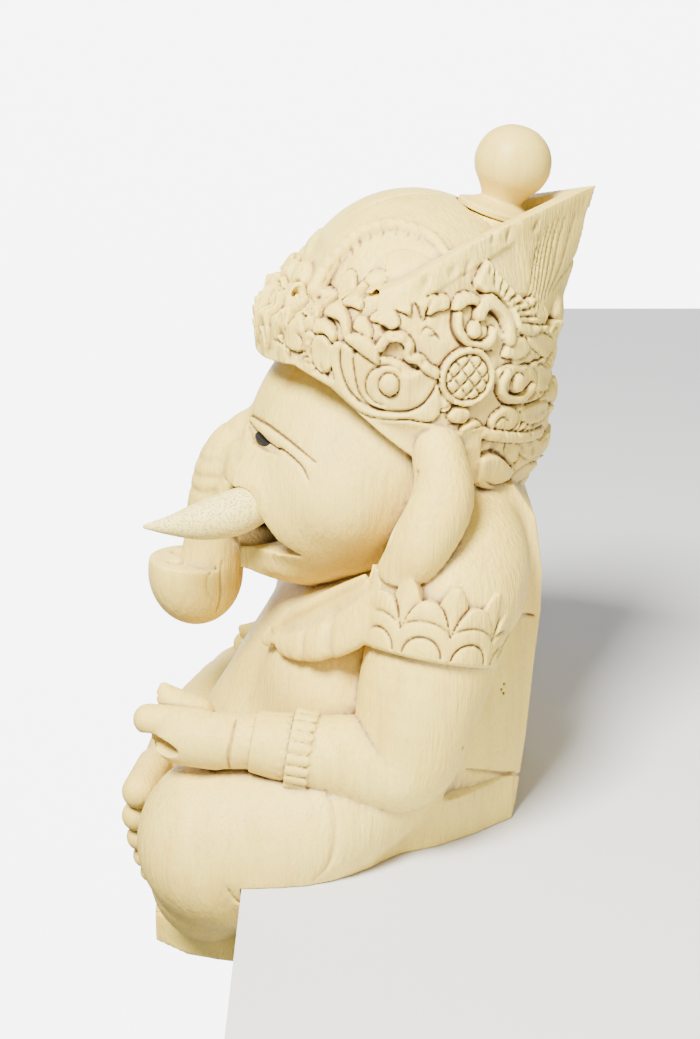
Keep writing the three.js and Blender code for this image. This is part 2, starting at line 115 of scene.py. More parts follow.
class Block:
    """Distances to a form in mm, below zero inside it, on a box of the shared lattice"""

    def __init__(self, low, high):
        self.first = np.floor(np.asarray(low) / VOXEL).astype(int)
        last = np.ceil(np.asarray(high) / VOXEL).astype(int)
        self.d = np.full(last - self.first + 1, FAR, np.float32)

    def window(self, low, high):
        """The cells between two corners, with the x, y and z of their lattice planes"""
        start = np.maximum(np.floor(np.asarray(low) / VOXEL).astype(int), self.first)
        stop = np.minimum(np.ceil(np.asarray(high) / VOXEL).astype(int) + 1, self.first + self.d.shape)
        if (stop <= start).any():
            return None, None
        cells = tuple(slice(a - f, b - f) for a, b, f in zip(start, stop, self.first))
        planes = [np.arange(a, b, dtype=np.float32) * VOXEL for a, b in zip(start, stop)]
        return cells, np.ix_(*planes)

    def everywhere(self):
        return self.window(self.first * VOXEL, (self.first + self.d.shape - 1) * VOXEL)[1]

    def add(self, form, blend=0.0, sign=1):
        """Adds a form, or takes it away where the sign is -1"""
        cells, places = self.window(np.subtract(form.low, blend + 1), np.add(form.high, blend + 1))
        if cells:
            self.d[cells] = sign * smooth_min(sign * self.d[cells], form.distance(*places), blend)
        return self

    def cut(self, form, blend=0.0):
        return self.add(form, blend, -1)

    def join(self, other, blend=0.0):
        """Adds another block, and grows this one where it has to hold it"""
        first = np.minimum(self.first, other.first)
        last = np.maximum(self.first + self.d.shape, other.first + other.d.shape)
        if tuple(last - first) != self.d.shape:
            grown = np.full(last - first, FAR, np.float32)
            grown[tuple(slice(a, a + n) for a, n in zip(self.first - first, self.d.shape))] = self.d
            self.first, self.d = first, grown
        cells = tuple(slice(a, a + n) for a, n in zip(other.first - self.first, other.d.shape))
        self.d[cells] = smooth_min(self.d[cells], other.d, blend)
        return self

    def flipped(self):
        """The same form on the other side of x = 0"""
        other = Block([0, 0, 0], [0, 0, 0])
        other.first = self.first.copy()
        other.first[0] = -(self.first[0] + self.d.shape[0] - 1)
        other.d = self.d[::-1].copy()
        return other

    def mirrored(self):
        """Both halves of a form worked out from x = 0 outwards"""
        whole = self.flipped()
        whole.d = np.concatenate([whole.d, self.d[1:]])
        return whole


def curve(rows, steps=6, closed=False):
    """Points on a smooth curve through rows of numbers"""
    rows = np.asarray(rows, float)
    if closed:
        padded = np.concatenate([rows[-1:], rows, rows[:2]])
    else:
        padded = np.concatenate([2 * rows[:1] - rows[1:2], rows, 2 * rows[-1:] - rows[-2:-1]])
    points = []
    for p, q, r, s in zip(padded, padded[1:], padded[2:], padded[3:]):
        for t in np.arange(steps) / steps:
            bend = 2 * q + (r - p) * t + (2 * p - 5 * q + 4 * r - s) * t**2 + (3 * q - p - 3 * r + s) * t**3
            points.append(bend / 2)
    if not closed:
        points.append(rows[-1])
    return np.array(points)


def turned(tip=0.0, turn=0.0):
    """A rotation matrix: tip about X, then turn about Z, in degrees"""
    a, b = math.radians(tip), math.radians(turn)
    about_x = np.array([[1, 0, 0], [0, math.cos(a), -math.sin(a)], [0, math.sin(a), math.cos(a)]])
    about_z = np.array([[math.cos(b), -math.sin(b), 0], [math.sin(b), math.cos(b), 0], [0, 0, 1]])
    return about_z @ about_x


def egg(at, half, tip=0.0, turn=0.0):
    """An ellipsoid of half sizes at a place"""
    back = turned(tip, turn).T
    at, half = np.asarray(at, float), np.asarray(half, float)
    reach = np.abs(back.T) @ half + 0.5

    def distance(x, y, z):
        u, v, w = ((m[0] * (x - at[0]) + m[1] * (y - at[1]) + m[2] * (z - at[2])) for m in back)
        outer = np.sqrt((u / half[0]) ** 2 + (v / half[1]) ** 2 + (w / half[2]) ** 2)
        steep = np.sqrt((u / half[0] ** 2) ** 2 + (v / half[1] ** 2) ** 2 + (w / half[2] ** 2) ** 2)
        return (outer * (outer - 1) / np.maximum(steep, 1e-4)).astype(np.float32)

    return Form(at - reach, at + reach, distance)


def limb(places, thin=None, share=1.0, steps=5):
    """A round-ended limb through places (x, y, z, radius), thinned along a direction by a share"""
    points = curve(places, steps)
    reach = points[:, 3:] + MARGIN
    low, high = (points[:, :3] - reach).min(0), (points[:, :3] + reach).max(0)
    flat = None if thin is None else np.asarray(thin, float) / np.linalg.norm(thin)

    def distance(x, y, z):
        result = np.full((x.size, y.size, z.size), FAR, np.float32)
        for p, q in zip(points, points[1:]):
            wide = max(p[3], q[3]) + MARGIN
            spans = []
            for axis, (a, b) in zip((x, y, z), zip(np.minimum(p, q) - wide, np.maximum(p, q) + wide)):
                plane = axis.ravel()
                spans.append(slice(*np.searchsorted(plane, [a, b])))
            near = tuple(spans)
            along = (q - p)[:3]
            length = max(float(along @ along), 1e-6)
            dx, dy, dz = x[spans[0]] - p[0], y[:, spans[1]] - p[1], z[:, :, spans[2]] - p[2]
            t = np.clip((dx * along[0] + dy * along[1] + dz * along[2]) / length, 0, 1)
            dx, dy, dz = dx - t * along[0], dy - t * along[1], dz - t * along[2]
            off = np.sqrt(dx * dx + dy * dy + dz * dz) + 1e-4
            radius = p[3] + (q[3] - p[3]) * t
            if flat is None:
                here = off - radius
            else:
                across = dx * flat[0] + dy * flat[1] + dz * flat[2]
                stretched = np.sqrt(off * off + (1 / share**2 - 1) * across * across)
                here = (stretched - radius) * off / stretched
            result[near] = np.minimum(result[near], here)
        return result

    return Form(low, high, distance)


def outline_distance(outline, a, b):
    """Signed distance to a closed outline of (a, b) points, below zero inside"""
    outline = np.asarray(outline, float)
    nearest = np.full(np.broadcast_shapes(a.shape, b.shape), FAR**2)
    inside = np.zeros(nearest.shape, bool)
    for (a0, b0), (a1, b1) in zip(outline, np.roll(outline, -1, axis=0)):
        da, db = a1 - a0, b1 - b0
        t = np.clip(((a - a0) * da + (b - b0) * db) / max(da * da + db * db, 1e-9), 0, 1)
        nearest = np.minimum(nearest, (a - a0 - t * da) ** 2 + (b - b0 - t * db) ** 2)
        crosses = (b0 > b) != (b1 > b)
        inside ^= crosses & (a < a0 + (b - b0) * da / (db if abs(db) > 1e-9 else 1e-9))
    return np.where(inside, -1, 1) * np.sqrt(nearest)


def slab(axis, outline, low, high):
    """A closed outline in the other two axes, carried along an axis from low to high"""
    outline = np.asarray(outline, float)
    others = [n for n in range(3) if n != axis]
    corners = np.empty((2, 3))
    corners[:, axis] = low, high
    corners[:, others] = outline.min(0), outline.max(0)

    def distance(*places):
        across = outline_distance(outline, *(places[n] for n in others)).astype(np.float32)
        return np.maximum(across, np.maximum(low - places[axis], places[axis] - high))

    return Form(*corners, distance)


def side_slab(outline, low, high):
    """A side-view outline of (y, z) points carried from x = low to x = high"""
    return slab(0, outline, low, high)


def plan_slab(outline, low, high):
    """A plan-view outline of (x, y) points carried from z = low to z = high"""
    return slab(2, outline, low, high)


# Lines carved on a finished surface

def sample(block, places):
    """A block's distances at places (..., 3) in mm, between its lattice points"""
    at = places / VOXEL - block.first
    size = np.array(block.d.shape)
    base = np.clip(np.floor(at).astype(int), 0, size - 2)
    part = np.clip(at - base, 0, 1)
    total = 0
    for corner in np.ndindex(2, 2, 2):
        weight = np.prod(np.where(corner, part, 1 - part), axis=-1)
        i, j, k = (base[..., n] + corner[n] for n in range(3))
        total = total + weight * block.d[i, j, k]
    beyond = ((at < 0) | (at > size - 1)).any(-1)
    return np.where(beyond, FAR, total)


def outward(block, places):
    """The direction in which a block's distance grows"""
    steps = np.eye(3) * VOXEL
    slope = np.stack([sample(block, places + s) - sample(block, places - s) for s in steps], -1)
    return slope / np.maximum(np.linalg.norm(slope, axis=-1, keepdims=True), 1e-6)


def settled(block, places, lift=0.0):
    """Places brought onto a block's surface along its slope, then lifted off it"""
    places = np.array(places, float)
    for _ in range(8):
        places = places - outward(block, places) * sample(block, places)[:, None] * 0.8
    return places + outward(block, places) * lift


def traced(block, line, width, lift):
    """A limb laid along a line of places near the surface, its middle lifted off the surface"""
    middle = settled(block, curve(line, 5), lift)
    swell = 0.4 + 0.6 * np.sin(np.pi * np.linspace(0.04, 0.96, len(middle))) ** 0.6
    return limb(np.column_stack([middle, width / 2 * swell]), steps=1)


def groove(block, line, width, depth, blend=0.15):
    """A round-bottomed cut along a line on the surface"""
    block.cut(traced(block, line, width, width / 2 - depth), blend)


def welt(block, line, width, proud, blend=1.2):
    """A rounded ridge along a line on the surface"""
    block.add(traced(block, line, width, proud - width / 2), blend)


# The lower body

SEAT_HALF = [(34, 45), (44, 34), (51, 24), (55, 14), (63, 5), (68, -5), (69, -15), (64, SHELF_FACE)]


def seat():
    outline = [(-x, y) for x, y in SEAT_HALF] + SEAT_HALF[::-1]
    return plan_slab(outline, -6, 13)


def thigh(knee):
    """A thigh out to its knee, given on the left side"""
    return Block((20, -66, -30), (80, 34, 44)).add(limb([(46, 12, 20, 15), (56, -8, 12, 18), knee], steps=6))


def hem():
    """The raised edge of the cloth, where the bare thigh comes out of it"""
    return limb([(62, 1, 22, 4), (67.6, -6, 12, 3.7), (68.2, -13, 1, 3.6)])


def hanging_leg():
    """The left shin hangs down and inwards from the knee, and its foot points forward"""
    leg = Block((4, -72, -50), (80, -10, 32))
    leg.add(limb([(50, -33, 1, 22), (43, -39, -14, 17), (31, -40, -30, 10)]))
    leg.add(limb([(35, -37, -35, 7.5), (29, -45, -34.6, 8), (24, -50, -35.4, 6.5)]), 1.2)
    wedge = [(11, -57), (29, -57), (37, -47), (41, -33), (13, -33)]
    leg.add(plan_slab(wedge, -42.5, -33.5), 2.5)
    for side in range(0, 16, 4):
        between = [(16 + side, -53, -32.4), (15.6 + side, -57, -36), (15.4 + side, -57.4, -41)]
        groove(leg, between, 0.9, 0.4)
    return leg


def crossed_leg():
    """The right shin crosses in front, and its foot stands on edge before the left knee"""
    leg = Block((-80, -70, -34), (40, -2, 34))
    leg.add(limb([(-46, -31, -1, 21), (-28, -45, -3, 16), (-8, -51, -5, 13)]))
    foot = [(-8, -52, -5, 13), (4, -56, -5, 14), (16, -58, -6, 14)]
    leg.add(limb(foot, thin=(0, 1, 0), share=0.55), 3)
    top = 12
    for k, size in enumerate([5.0, 4.5, 4.1, 3.8, 3.3]):
        z = top - size
        top -= 2 * size - 0.8
        back = 1.1 * abs(k - 1.3)
        leg.add(limb([(14, -59 + back, z, size), (30 - 2 * k, -61.5 + back, z - 0.5, size)], steps=3), 0.25)
    return leg


# The upper body

BACK_LINE = [(46, -4), (47.5, 4), (50, 25), (51.5, 45), (53, 62), (53, 74), (51, 88)]


def torso():
    """Chest, belly and paunch, wide behind the arms and flat at the back"""
    half = Block((0, -48, -8), (66, 58, 102))
    half.add(egg((0, 18, 36), (46, 37, 52)))
    half.add(egg((0, 8, 12), (47, 48, 49)), 5)
    half.add(egg((0, -10, 12), (40, 35, 24)), 5)
    half.add(limb([(0, 2, 40, 26), (25, 2, 40, 26)]), 8)
    core = [(20, -4)] + BACK_LINE + [(44, 98), (20, 98)]
    half.add(side_slab(core, -31, 31), 6)
    behind_arm = [(0, 46), (33, 45.5), (42.4, 34), (47, 24), (47, 14), (0, 14)]
    half.add(plan_slab(behind_arm, 0, 62), 4)
    half.add(limb([(30, 33, 88, 12), (40, 32, 80, 16), (45, 29, 74, 18)]), 4)
    half.cut(side_slab(BACK_LINE + [(53, 120), (99, 120), (99, -4)], -70, 70), 2)
    return half.mirrored()


def arm(joints):
    """Upper arm and forearm, given on the left side"""
    shoulder, elbow, wrist = (np.array(j, float) for j in joints[:3])
    upper, lower = (shoulder + elbow) / 2 + (3, 0, 0), (elbow + wrist) / 2 + (3, 0, 0)
    places = [(shoulder, 19), (upper, 17), (elbow, 14.5), (lower, 10.4), (wrist, 7.3)]
    block = Block((18, -48, 6), (82, 58, 98))
    return block.add(limb([(*at, radius) for at, radius in places], steps=6))


def hand(joints, tip=0.0):
    """A loose fist: a blunt first finger over a scooped gap, the others curled, the thumb up"""
    block = Block((36, -66, 16), (74, -16, 56))
    palm = [(58, -25, 35, 7.3), (56.4, -38, 34.6, 7.6), (54, -47, 34, 7), (51, -51, 34.4, 5)]
    block.add(limb(palm, thin=(1, 0, 0), share=0.9))
    block.add(limb([(54, -42, 38, 4.6), (51.5, -56, 38.6, 4.2)]), 0.8)
    block.add(limb([(55, -38, 31, 5.2), (52, -49, 30.4, 4)]), 1)
    block.add(limb([(48, -43, 38.5, 4.6), (46, -50.5, 42, 3.6), (45.6, -52.4, 45.6, 1.2)]), 0.5)
    block.cut(egg((58, -54.5, 33.4), (8, 7.5, 2.6), tip=-4, turn=-14), 0.4)
    groove(block, [(51, -58, 42), (47, -54, 43.4), (43, -50, 41)], 0.8, 0.5)
    groove(block, [(59, -32, 42), (62.7, -32.9, 38.5), (63.1, -34, 32.5), (60, -34, 28)], 1.3, 0.8)
    groove(block, [(60.6, -29.6, 42), (63.4, -30.4, 38.5), (63.8, -31, 32.5)], 0.9, 0.25)
    for low in (33, 29.6, 26.4):
        groove(block, [(54, -56, low), (48, -58, low + 0.6), (42, -54, low)], 0.9, 0.6)
    wrist = np.array(LEFT_ARM[2], float)
    shift = np.array(joints[2], float) - wrist + HAND_SHIFT
    return moved(block, wrist, turned(tip=tip), shift)


def moved(block, pivot, rotation, shift):
    """A block turned about a pivot and shifted, sampled again on the lattice"""
    other = Block(block.first * VOXEL + shift - 16, (block.first + block.d.shape) * VOXEL + shift + 16)
    x, y, z = np.broadcast_arrays(*other.everywhere())
    places = np.stack([x, y, z], -1) - (pivot + shift)
    other.d = sample(block, places @ rotation + pivot).astype(np.float32)
    return other


def about_axis(start, end, x, y, z):
    """Height along an axis, distance from it and angle round it, for lattice places"""
    start, end = np.array(start, float), np.array(end, float)
    axis = (end - start) / np.linalg.norm(end - start)
    side = np.cross(axis, (0, 1, 0))
    side /= np.linalg.norm(side)
    front = np.cross(side, axis)
    dx, dy, dz = x - start[0], y - start[1], z - start[2]
    height = dx * axis[0] + dy * axis[1] + dz * axis[2]
    a = dx * side[0] + dy * side[1] + dz * side[2]
    b = dx * front[0] + dy * front[1] + dz * front[2]
    return height, np.sqrt(a * a + b * b), np.arctan2(b, a)


def band_relief(across, height):
    """Height of the armband over its own wall: arched leaves, taller ones behind, and arcs cut in them"""
    apart = 2 * math.pi * BAND_RADIUS / BAND_LEAVES
    front = across - apart * np.round(across / apart)
    behind = across - apart * (np.floor(across / apart) + 0.5)
    front_top = 15 - 13 * np.abs(front / 7.4) ** 2.4
    behind_top = 19.5 - 16 * np.abs(behind / 6.6) ** 2
    on_front = height < front_top
    from_foot = np.sqrt(front**2 + (height - 0.5) ** 2)
    arcs = np.exp(-(((from_foot - 5) / 0.4) ** 2)) + 0.8 * np.exp(-(((from_foot - 9.2) / 0.4) ** 2))
    edge = np.exp(-(((front_top - height) / 1.1) ** 2))
    leaf = 0.9 + 0.06 * height - arcs * (height > 0.6)
    back_leaf = 0.5 + 0.4 * np.exp(-((behind / 1.1) ** 2)) - 0.9 * edge
    return np.where(on_front, leaf, back_leaf), np.maximum(front_top, behind_top)


def armband(joints):
    """A band round the upper arm whose upper edge rises in two rows of leaves"""
    low = np.array(joints[3], float)
    high = low - 30 * BAND_AXIS

    def distance(x, y, z):
        height, off, angle = about_axis(low, high, x, y, z)
        relief, top = band_relief((angle + 0.2) * BAND_RADIUS, height)
        line = 0.7 * np.exp(-(((height + 0.2) / 0.4) ** 2))
        wall = off - BAND_RADIUS - relief + line
        return np.maximum(np.maximum(wall, (height - top) * 0.8), -0.4 - height).astype(np.float32)

    middle = (low + high) / 2
    return Form(middle - (34, 34, 34), middle + (34, 34, 34), distance)


def cuff(joints):
    """A sleeve at the wrist that ends in a ring of small petals"""
    elbow, wrist = np.array(joints[1], float), np.array(joints[2], float)
    middle = (elbow + wrist) / 2 + (3, 0, 0)

    def distance(x, y, z):
        height, off, angle = about_axis(wrist, middle, x, y, z)
        part = np.mod(angle * CUFF_PETALS / (2 * math.pi), 1) - 0.5
        rise = np.sqrt(np.maximum(1 - (1.96 * part) ** 2, 0))
        sleeve = np.maximum(off - (8.2 + 0.13 * height), np.maximum(-0.5 - height, height - 12))
        scoop = 0.7 * np.exp(-(((height - 9.6 + 2.4 * (1 - rise)) / 0.7) ** 2))
        petals = np.maximum(off - (9.9 + 1.0 * rise), np.maximum(9.4 - height, height - 13 - 2.6 * rise))
        return np.minimum(sleeve + scoop, petals).astype(np.float32)

    return Form(wrist - (24, 24, 24), wrist + (24, 30, 24), distance)


def whole_arm(joints, tip=0.0):
    """An arm with its hand tipped down in degrees, its band and its cuff"""
    group = arm(joints).join(hand(joints, tip), 0.8)
    return group.add(armband(joints), 0.2).add(cuff(joints), 0.2)


# The head, worked out on its left half

# The mouth's open corner and the jaw under it, in side view
MOUTH_CORNER = [(-12.6, 79.8), (-30, 76.8), (-60, 76), (-60, 93), (-33, 96.5), (-28.5, 96), (-24.5, 90.5),
                (-19.3, 84)]
JAW = [(-30.5, 86), (-30.5, 71), (-26, 70), (-17, 68.8), (-8, 66), (-6, 86)]


def skull():
    """Forehead, cheeks, jaw, chin and lips, with the mouth hollowed between the tusks"""
    head = Block((0, -62, 42), (66, 56, 146))
    head.add(egg((0, 10, 104), (45, 38, 36)))
    head.add(egg((0, -2, 96), (47, 28, 27)), 6)
    head.add(egg((0, -6, 83), (37, 27, 18)), 6)
    head.add(egg((0, -13, 73), (29, 19, 9)), 5)
    head.add(limb([(11, -26, 98, 9), (21, -24, 95, 9.5), (30, -14, 89, 9)]), 5)
    head.add(side_slab(JAW, -21, 21), 3)
    head.cut(side_slab(MOUTH_CORNER, 11, 60), 0.2)
    head.cut(egg((8, -23, 86), (15, 10, 9)))
    head.cut(egg((13.6, -25, 79), (7.6, 9.5, 4.5)))
    return head


def nose(head):
    """The raised trunk: down between the tusks, then forward and up to a flat end with two nostrils"""
    trunk = Block((0, -62, 44), (20, 0, 122))
    fall = [(-18, 104, 11), (-29, 95, 13.5), (-35.5, 84, 11), (-38.5, 73, 9.4), (-41, 62, 9.2)]
    trunk.add(limb([(0, *row) for row in fall]))
    curl = Block((0, -62, 44), (20, -24, 84))
    curl.add(egg((0, -45, 62.5), (12.5, 13.8, 16)))
    curl.cut(side_slab([(-70, 68), (-38, 66), (-38, 84), (-70, 84)], -20, 20), 0.5)
    curl.cut(egg((4.5, -50, 68), (2.2, 3, 4)), 0.4)
    trunk.join(curl, 0.8)
    for z in (98, 92.8, 88.4):
        groove(trunk, [(11.5, -37, z + 1.4), (8, -42, z + 0.4), (0, -46, z)], 2, 0.5, 1)
    groove(trunk, [(10, -36, 69), (11.4, -36, 64), (9, -37.5, 58), (6, -40, 53)], 1.2, 0.6)
    groove(trunk, [(9.6, -39.5, 66), (11.8, -41, 63), (11.6, -40, 58.6), (9.8, -38, 55)], 1.0, 0.4)
    head.join(trunk, 1.6)
    groove(head, [(17, -30.6, 101), (14, -33.6, 97), (11.4, -36, 93), (10.2, -38, 88)], 2.2, 0.7, 0.8)
    groove(head, [(14, -30, 107), (7, -33.5, 107.4), (0, -35, 107.4)], 4, 0.7, 1.5)


# The left eye's lines, from the trunk outwards
LID_CREASE = [(5.5, -27, 109.6), (8, -26, 110.8), (15, -23.4, 111.4), (23.1, -19.5, 111.5),
              (32.3, -14.4, 110), (40.5, -8.3, 106.8)]
LID_EDGE = [(8.6, -26, 109), (17.9, -22.7, 109.3), (27, -19.4, 108.8), (34.6, -15.2, 107.4),
            (39.4, -12.2, 105.6), (41.6, -10.2, 102.6)]
LID_BELOW = [(8.6, -26.4, 107), (15, -25.8, 105.6), (25.2, -22.8, 105.6), (31.1, -19.3, 106),
             (35, -16, 106.8)]
EYE_LINE = [(10, -26, 108), (17, -24.3, 107.4), (24.5, -21.8, 107.2), (31, -18.4, 107.2)]


def eye(head):
    """A slanting half-shut eye: a slot with the eyeball in it, under a heavy upper lid"""
    lid = [tuple((np.array(a) + b) / 2) for a, b in zip(LID_CREASE, LID_EDGE)]
    ball = traced(head, EYE_LINE, 4.4, -2.9)
    opening = traced(head, EYE_LINE, 3.6, 0.3)
    welt(head, lid, 3, 0.7, 0.8)
    head.cut(opening, 0.2)
    head.add(ball, 0.2)
    groove(head, LID_CREASE, 1, 0.8)
    groove(head, LID_EDGE, 0.9, 0.8)
    groove(head, LID_BELOW, 1, 0.3, 0.4)


def face(head):
    """Soft folds on the lip and behind the cheek"""
    lip = [(28.4, -29, 98), (31, -23.5, 97), (31.8, -19.4, 91), (32, -15, 85), (31.8, -12.6, 80.6)]
    welt(head, lip, 2.4, 0.3, 1)
    for back in (0, 3.4, 7):
        groove(head, [(42, 2 + back, 114), (47, 5 + back, 107), (49, 6 + back, 99)], 1, 0.2, 0.3)


def ear(head):
    """A thick rolled ear whose lobe sweeps forward over the chest to a point, with a waved hem"""
    flap = Block((18, -34, 42), (72, 44, 124))
    shell = [(46, 23, 111, 8), (52, 24, 101, 9), (57, 18, 90, 8.5), (56.5, 13, 81.5, 6.4)]
    flap.add(limb(shell, thin=(-0.3, 1, 0.3), share=0.85))
    flap.add(limb([(38, 23, 108, 7), (43, 21, 92, 7), (45, 13.5, 78, 6.5)]), 1.5)
    lobe = [(56.5, 9, 76, 7), (51, 0, 67, 9.5), (42, -11, 60, 8.5), (30, -22, 54, 3)]
    flap.add(limb(lobe, thin=(0.5, -0.6, 0.62), share=0.42), 0.8)
    fold = [(53, 6.6, 81, 0.6), (46.6, -2.6, 73.4, 1.7), (41.2, -11.6, 66.6, 1.9), (33.6, -20.6, 58, 1.2)]
    flap.add(limb(fold), 1.2)
    groove(flap, [(55, 4.6, 78), (50, -3, 70), (44, -12, 62.6), (37, -19, 57)], 5, 1.5, 1)
    groove(flap, [(50, -3, 67), (54, -6, 60), (55, -6.6, 54)], 4.5, 1.5, 1.5)
    groove(flap, [(46, -12, 61), (48, -13, 57), (48, -13.4, 53)], 3.4, 0.9, 1.2)
    flap.cut(egg((38, -22, 51.4), (8, 3, 2.8), turn=-35), 0.6)
    groove(flap, [(57, 6, 80.6), (62, 8.4, 79), (64, 13, 79), (62, 19, 80.5)], 2.2, 0.9, 0.5)
    head.join(flap, 0.5)
    front = [(52, 17.6, 107.5, 0.8), (52.4, 15.4, 101, 2), (55, 13, 95.4, 2), (57.4, 10.6, 90.5, 1.7),
             (55.6, 8, 85, 1.3), (51.6, 5, 79.4, 1)]
    head.cut(limb(front), 0.3)


# The crown: an oval wall drawn to a point behind, with a map of carved relief laid round it

def read(rows, z):
    return np.interp(z, *np.transpose(rows))


def above(line, y, z):
    """How far above a side-view line of (y, z) points a place is"""
    ys, zs = np.transpose(line)
    step = 0.5
    slope = (np.interp(y + step, ys, zs) - np.interp(y - step, ys, zs)) / (2 * step)
    return (z - np.interp(y, ys, zs)) / np.sqrt(1 + slope**2)


def crown_reach(y, z):
    """How far the wall reaches behind its widest place, or in front of it, at a height"""
    behind, front = read(CROWN_BACK, z) - CROWN_WIDEST, CROWN_WIDEST - read(CROWN_FRONT, z)
    return np.where(y > CROWN_WIDEST, behind, front)


def round_crown(x, y, z):
    """The angle round the crown, from 0 in front to pi behind, and the share of the way out to its wall"""
    reach = crown_reach(y, z)
    across = np.abs(x) / read(CROWN_HALF, z)
    along = (y - CROWN_WIDEST) / reach
    angle = np.arctan2(across, -along)
    even = np.sqrt(across**2 + along**2)
    behind = np.maximum(along, 0)
    pointed = (across**0.91 + behind**1.6) ** 0.78
    share = np.clip((z - 128) / 38, 0, 1)
    share = np.where(y > CROWN_WIDEST, share**2 * (3 - 2 * share), 0)
    return angle, even + (pointed - even) * share


class Relief:
    """Heights over the crown's wall, in mm, on a map of the distance round it and the height"""

    STEP = 0.25

    def __init__(self):
        self.s = np.arange(-6, 156, self.STEP)[:, None]
        self.z = np.arange(82, 186, self.STEP)[None, :]
        self.h = np.zeros((self.s.size, self.z.size))

    def place(self, y, z):
        """Where a side-view place lies on the map"""
        reach = crown_reach(y, z)
        return ROUND * math.acos(max(-1, min(1, (CROWN_WIDEST - y) / reach))), z

    def near(self, s, z, reach):
        """The cells round a place on the map, and how far they lie from it each way"""
        i = slice(*np.searchsorted(self.s[:, 0], [s - reach, s + reach]))
        k = slice(*np.searchsorted(self.z[0], [z - reach, z + reach]))
        return (i, k), self.s[i] - s, self.z[:, k] - z

    def facing(self, y, z, reach, direction):
        """The cells round a side-view place, and how far along and across a direction they lie"""
        cells, ds, dz = self.near(*self.place(y, z), reach)
        a = math.radians(direction)
        return cells, ds * math.cos(a) + dz * math.sin(a), dz * math.cos(a) - ds * math.sin(a)

    def leaf(self, y, z, long, wide, direction, height, veins=1):
        """A dished leaf that rises to a crisp tip over what is there, with a scoop cut round its tip"""
        cells, u, v = self.facing(y, z, 1.7 * long + 1, direction)
        u = u / long
        v = v / (wide * (1 - 0.25 * np.clip(u, -1, 1)))
        r = np.sqrt(u * u + v * v)
        top = height * (0.6 + 0.4 * u) * (0.7 + 0.3 * r * r)
        for k in range(veins):
            gap = (r - 0.64 + 0.3 * k) * wide / 0.34
            top -= 0.6 * np.exp(-gap * gap) * np.clip(2.5 * u + 0.5, 0, 1)
        here = self.h[cells]
        rooted = np.clip(2.2 * u + 1.3, 0, 1)
        inside = rooted * top + (1 - rooted) * np.maximum(top, here)
        scoop = 1.2 * np.exp(-((np.maximum(r - 1, 0) * wide / 0.9) ** 2)) * np.clip(1.6 * u + 0.5, 0, 1)
        self.h[cells] = np.where(r < 1, inside, here - scoop)

    def along(self, line, width, steps=6):
        """Distance from a side-view line, and how far along it, over the map near it"""
        points = curve([self.place(y, z) for y, z in line], steps)
        nearest = np.full(self.h.shape, FAR)
        part = np.zeros(self.h.shape)
        count = len(points) - 1
        for n, (p, q) in enumerate(zip(points, points[1:])):
            middle, length = (p + q) / 2, np.linalg.norm(q - p)
            cells, ds, dz = self.near(*middle, width + length)
            ds, dz = ds + middle[0] - p[0], dz + middle[1] - p[1]
            way = (q - p) / max(length, 1e-6)
            t = np.clip((ds * way[0] + dz * way[1]) / max(length, 1e-6), 0, 1)
            off = np.hypot(ds - t * way[0] * length, dz - t * way[1] * length)
            closer = off < nearest[cells]
            nearest[cells] = np.where(closer, off, nearest[cells])
            part[cells] = np.where(closer, (n + t) / count, part[cells])
        return nearest, part

    def plate(self, outline, height, dish=0.0):
        """A raised patch in a V-shaped cut, hollowed towards its middle, or domed where dish is below 0"""
        points = curve([self.place(y, z) for y, z in outline], 4, closed=True)
        middle, reach = points.mean(0), np.ptp(points, axis=0).max() / 2 + 3
        cells, ds, dz = self.near(*middle, reach + 1)
        off = outline_distance(points - middle, ds, dz)
        top = height - dish * (1 - np.exp(np.minimum(off, 0) / 1.6))
        groove = 0.8 * np.clip(1 - np.abs(off) / 0.75, 0, 1)
        self.h[cells] = np.where(off < 0, np.maximum(top, self.h[cells] - 0.4), self.h[cells]) - groove

    def cut(self, line, width=1.1, depth=1.2, ends=0.3):
        """A V-shaped cut that runs out at its ends"""
        off, part = self.along(line, width + 1)
        swell = ends + (1 - ends) * np.sqrt(np.sin(np.pi * np.clip(part, 0.03, 0.97)))
        self.h -= depth * swell * np.clip(1 - off / (width * 0.55 * swell), 0, 1)

    def scoop(self, y, z, long, wide, direction, depth):
        """A spoon-shaped hollow with a crisp edge"""
        cells, u, v = self.facing(y, z, long + 1, direction)
        self.h[cells] -= depth * np.maximum(1 - (u / long) ** 2 - (v / wide) ** 2, 0)

    def roll(self, line, width, height):
        """A raised band with crisp edges laid over what is there"""
        off, _ = self.along(line, width + 1.5)
        half = width / 2
        r = off / half
        edge = 0.9 * np.exp(-((np.maximum(off - half, 0) / 0.6) ** 2))
        self.h = np.where(r < 1, height * (1 - 0.25 * r * r), self.h - np.where(off < FAR, edge, 0))

    def knob(self, y, z, radius, height):
        """A domed button with a cut round its lower side"""
        cells, ds, dz = self.near(*self.place(y, z), radius + 2)
        r = np.hypot(ds, dz) / radius
        dome = height - 1.1 * np.minimum(r, 1) ** 3
        self.h[cells] = np.where(r < 1, dome, self.h[cells] - 0.9 * np.exp(-(((r - 1) * radius / 0.6) ** 2)))
        radius *= 0.95
        angles = np.radians(np.linspace(195, 330, 5))
        self.cut([(y + radius * math.cos(a), z + radius * math.sin(a)) for a in angles], 1.3, 1.2, 0.1)

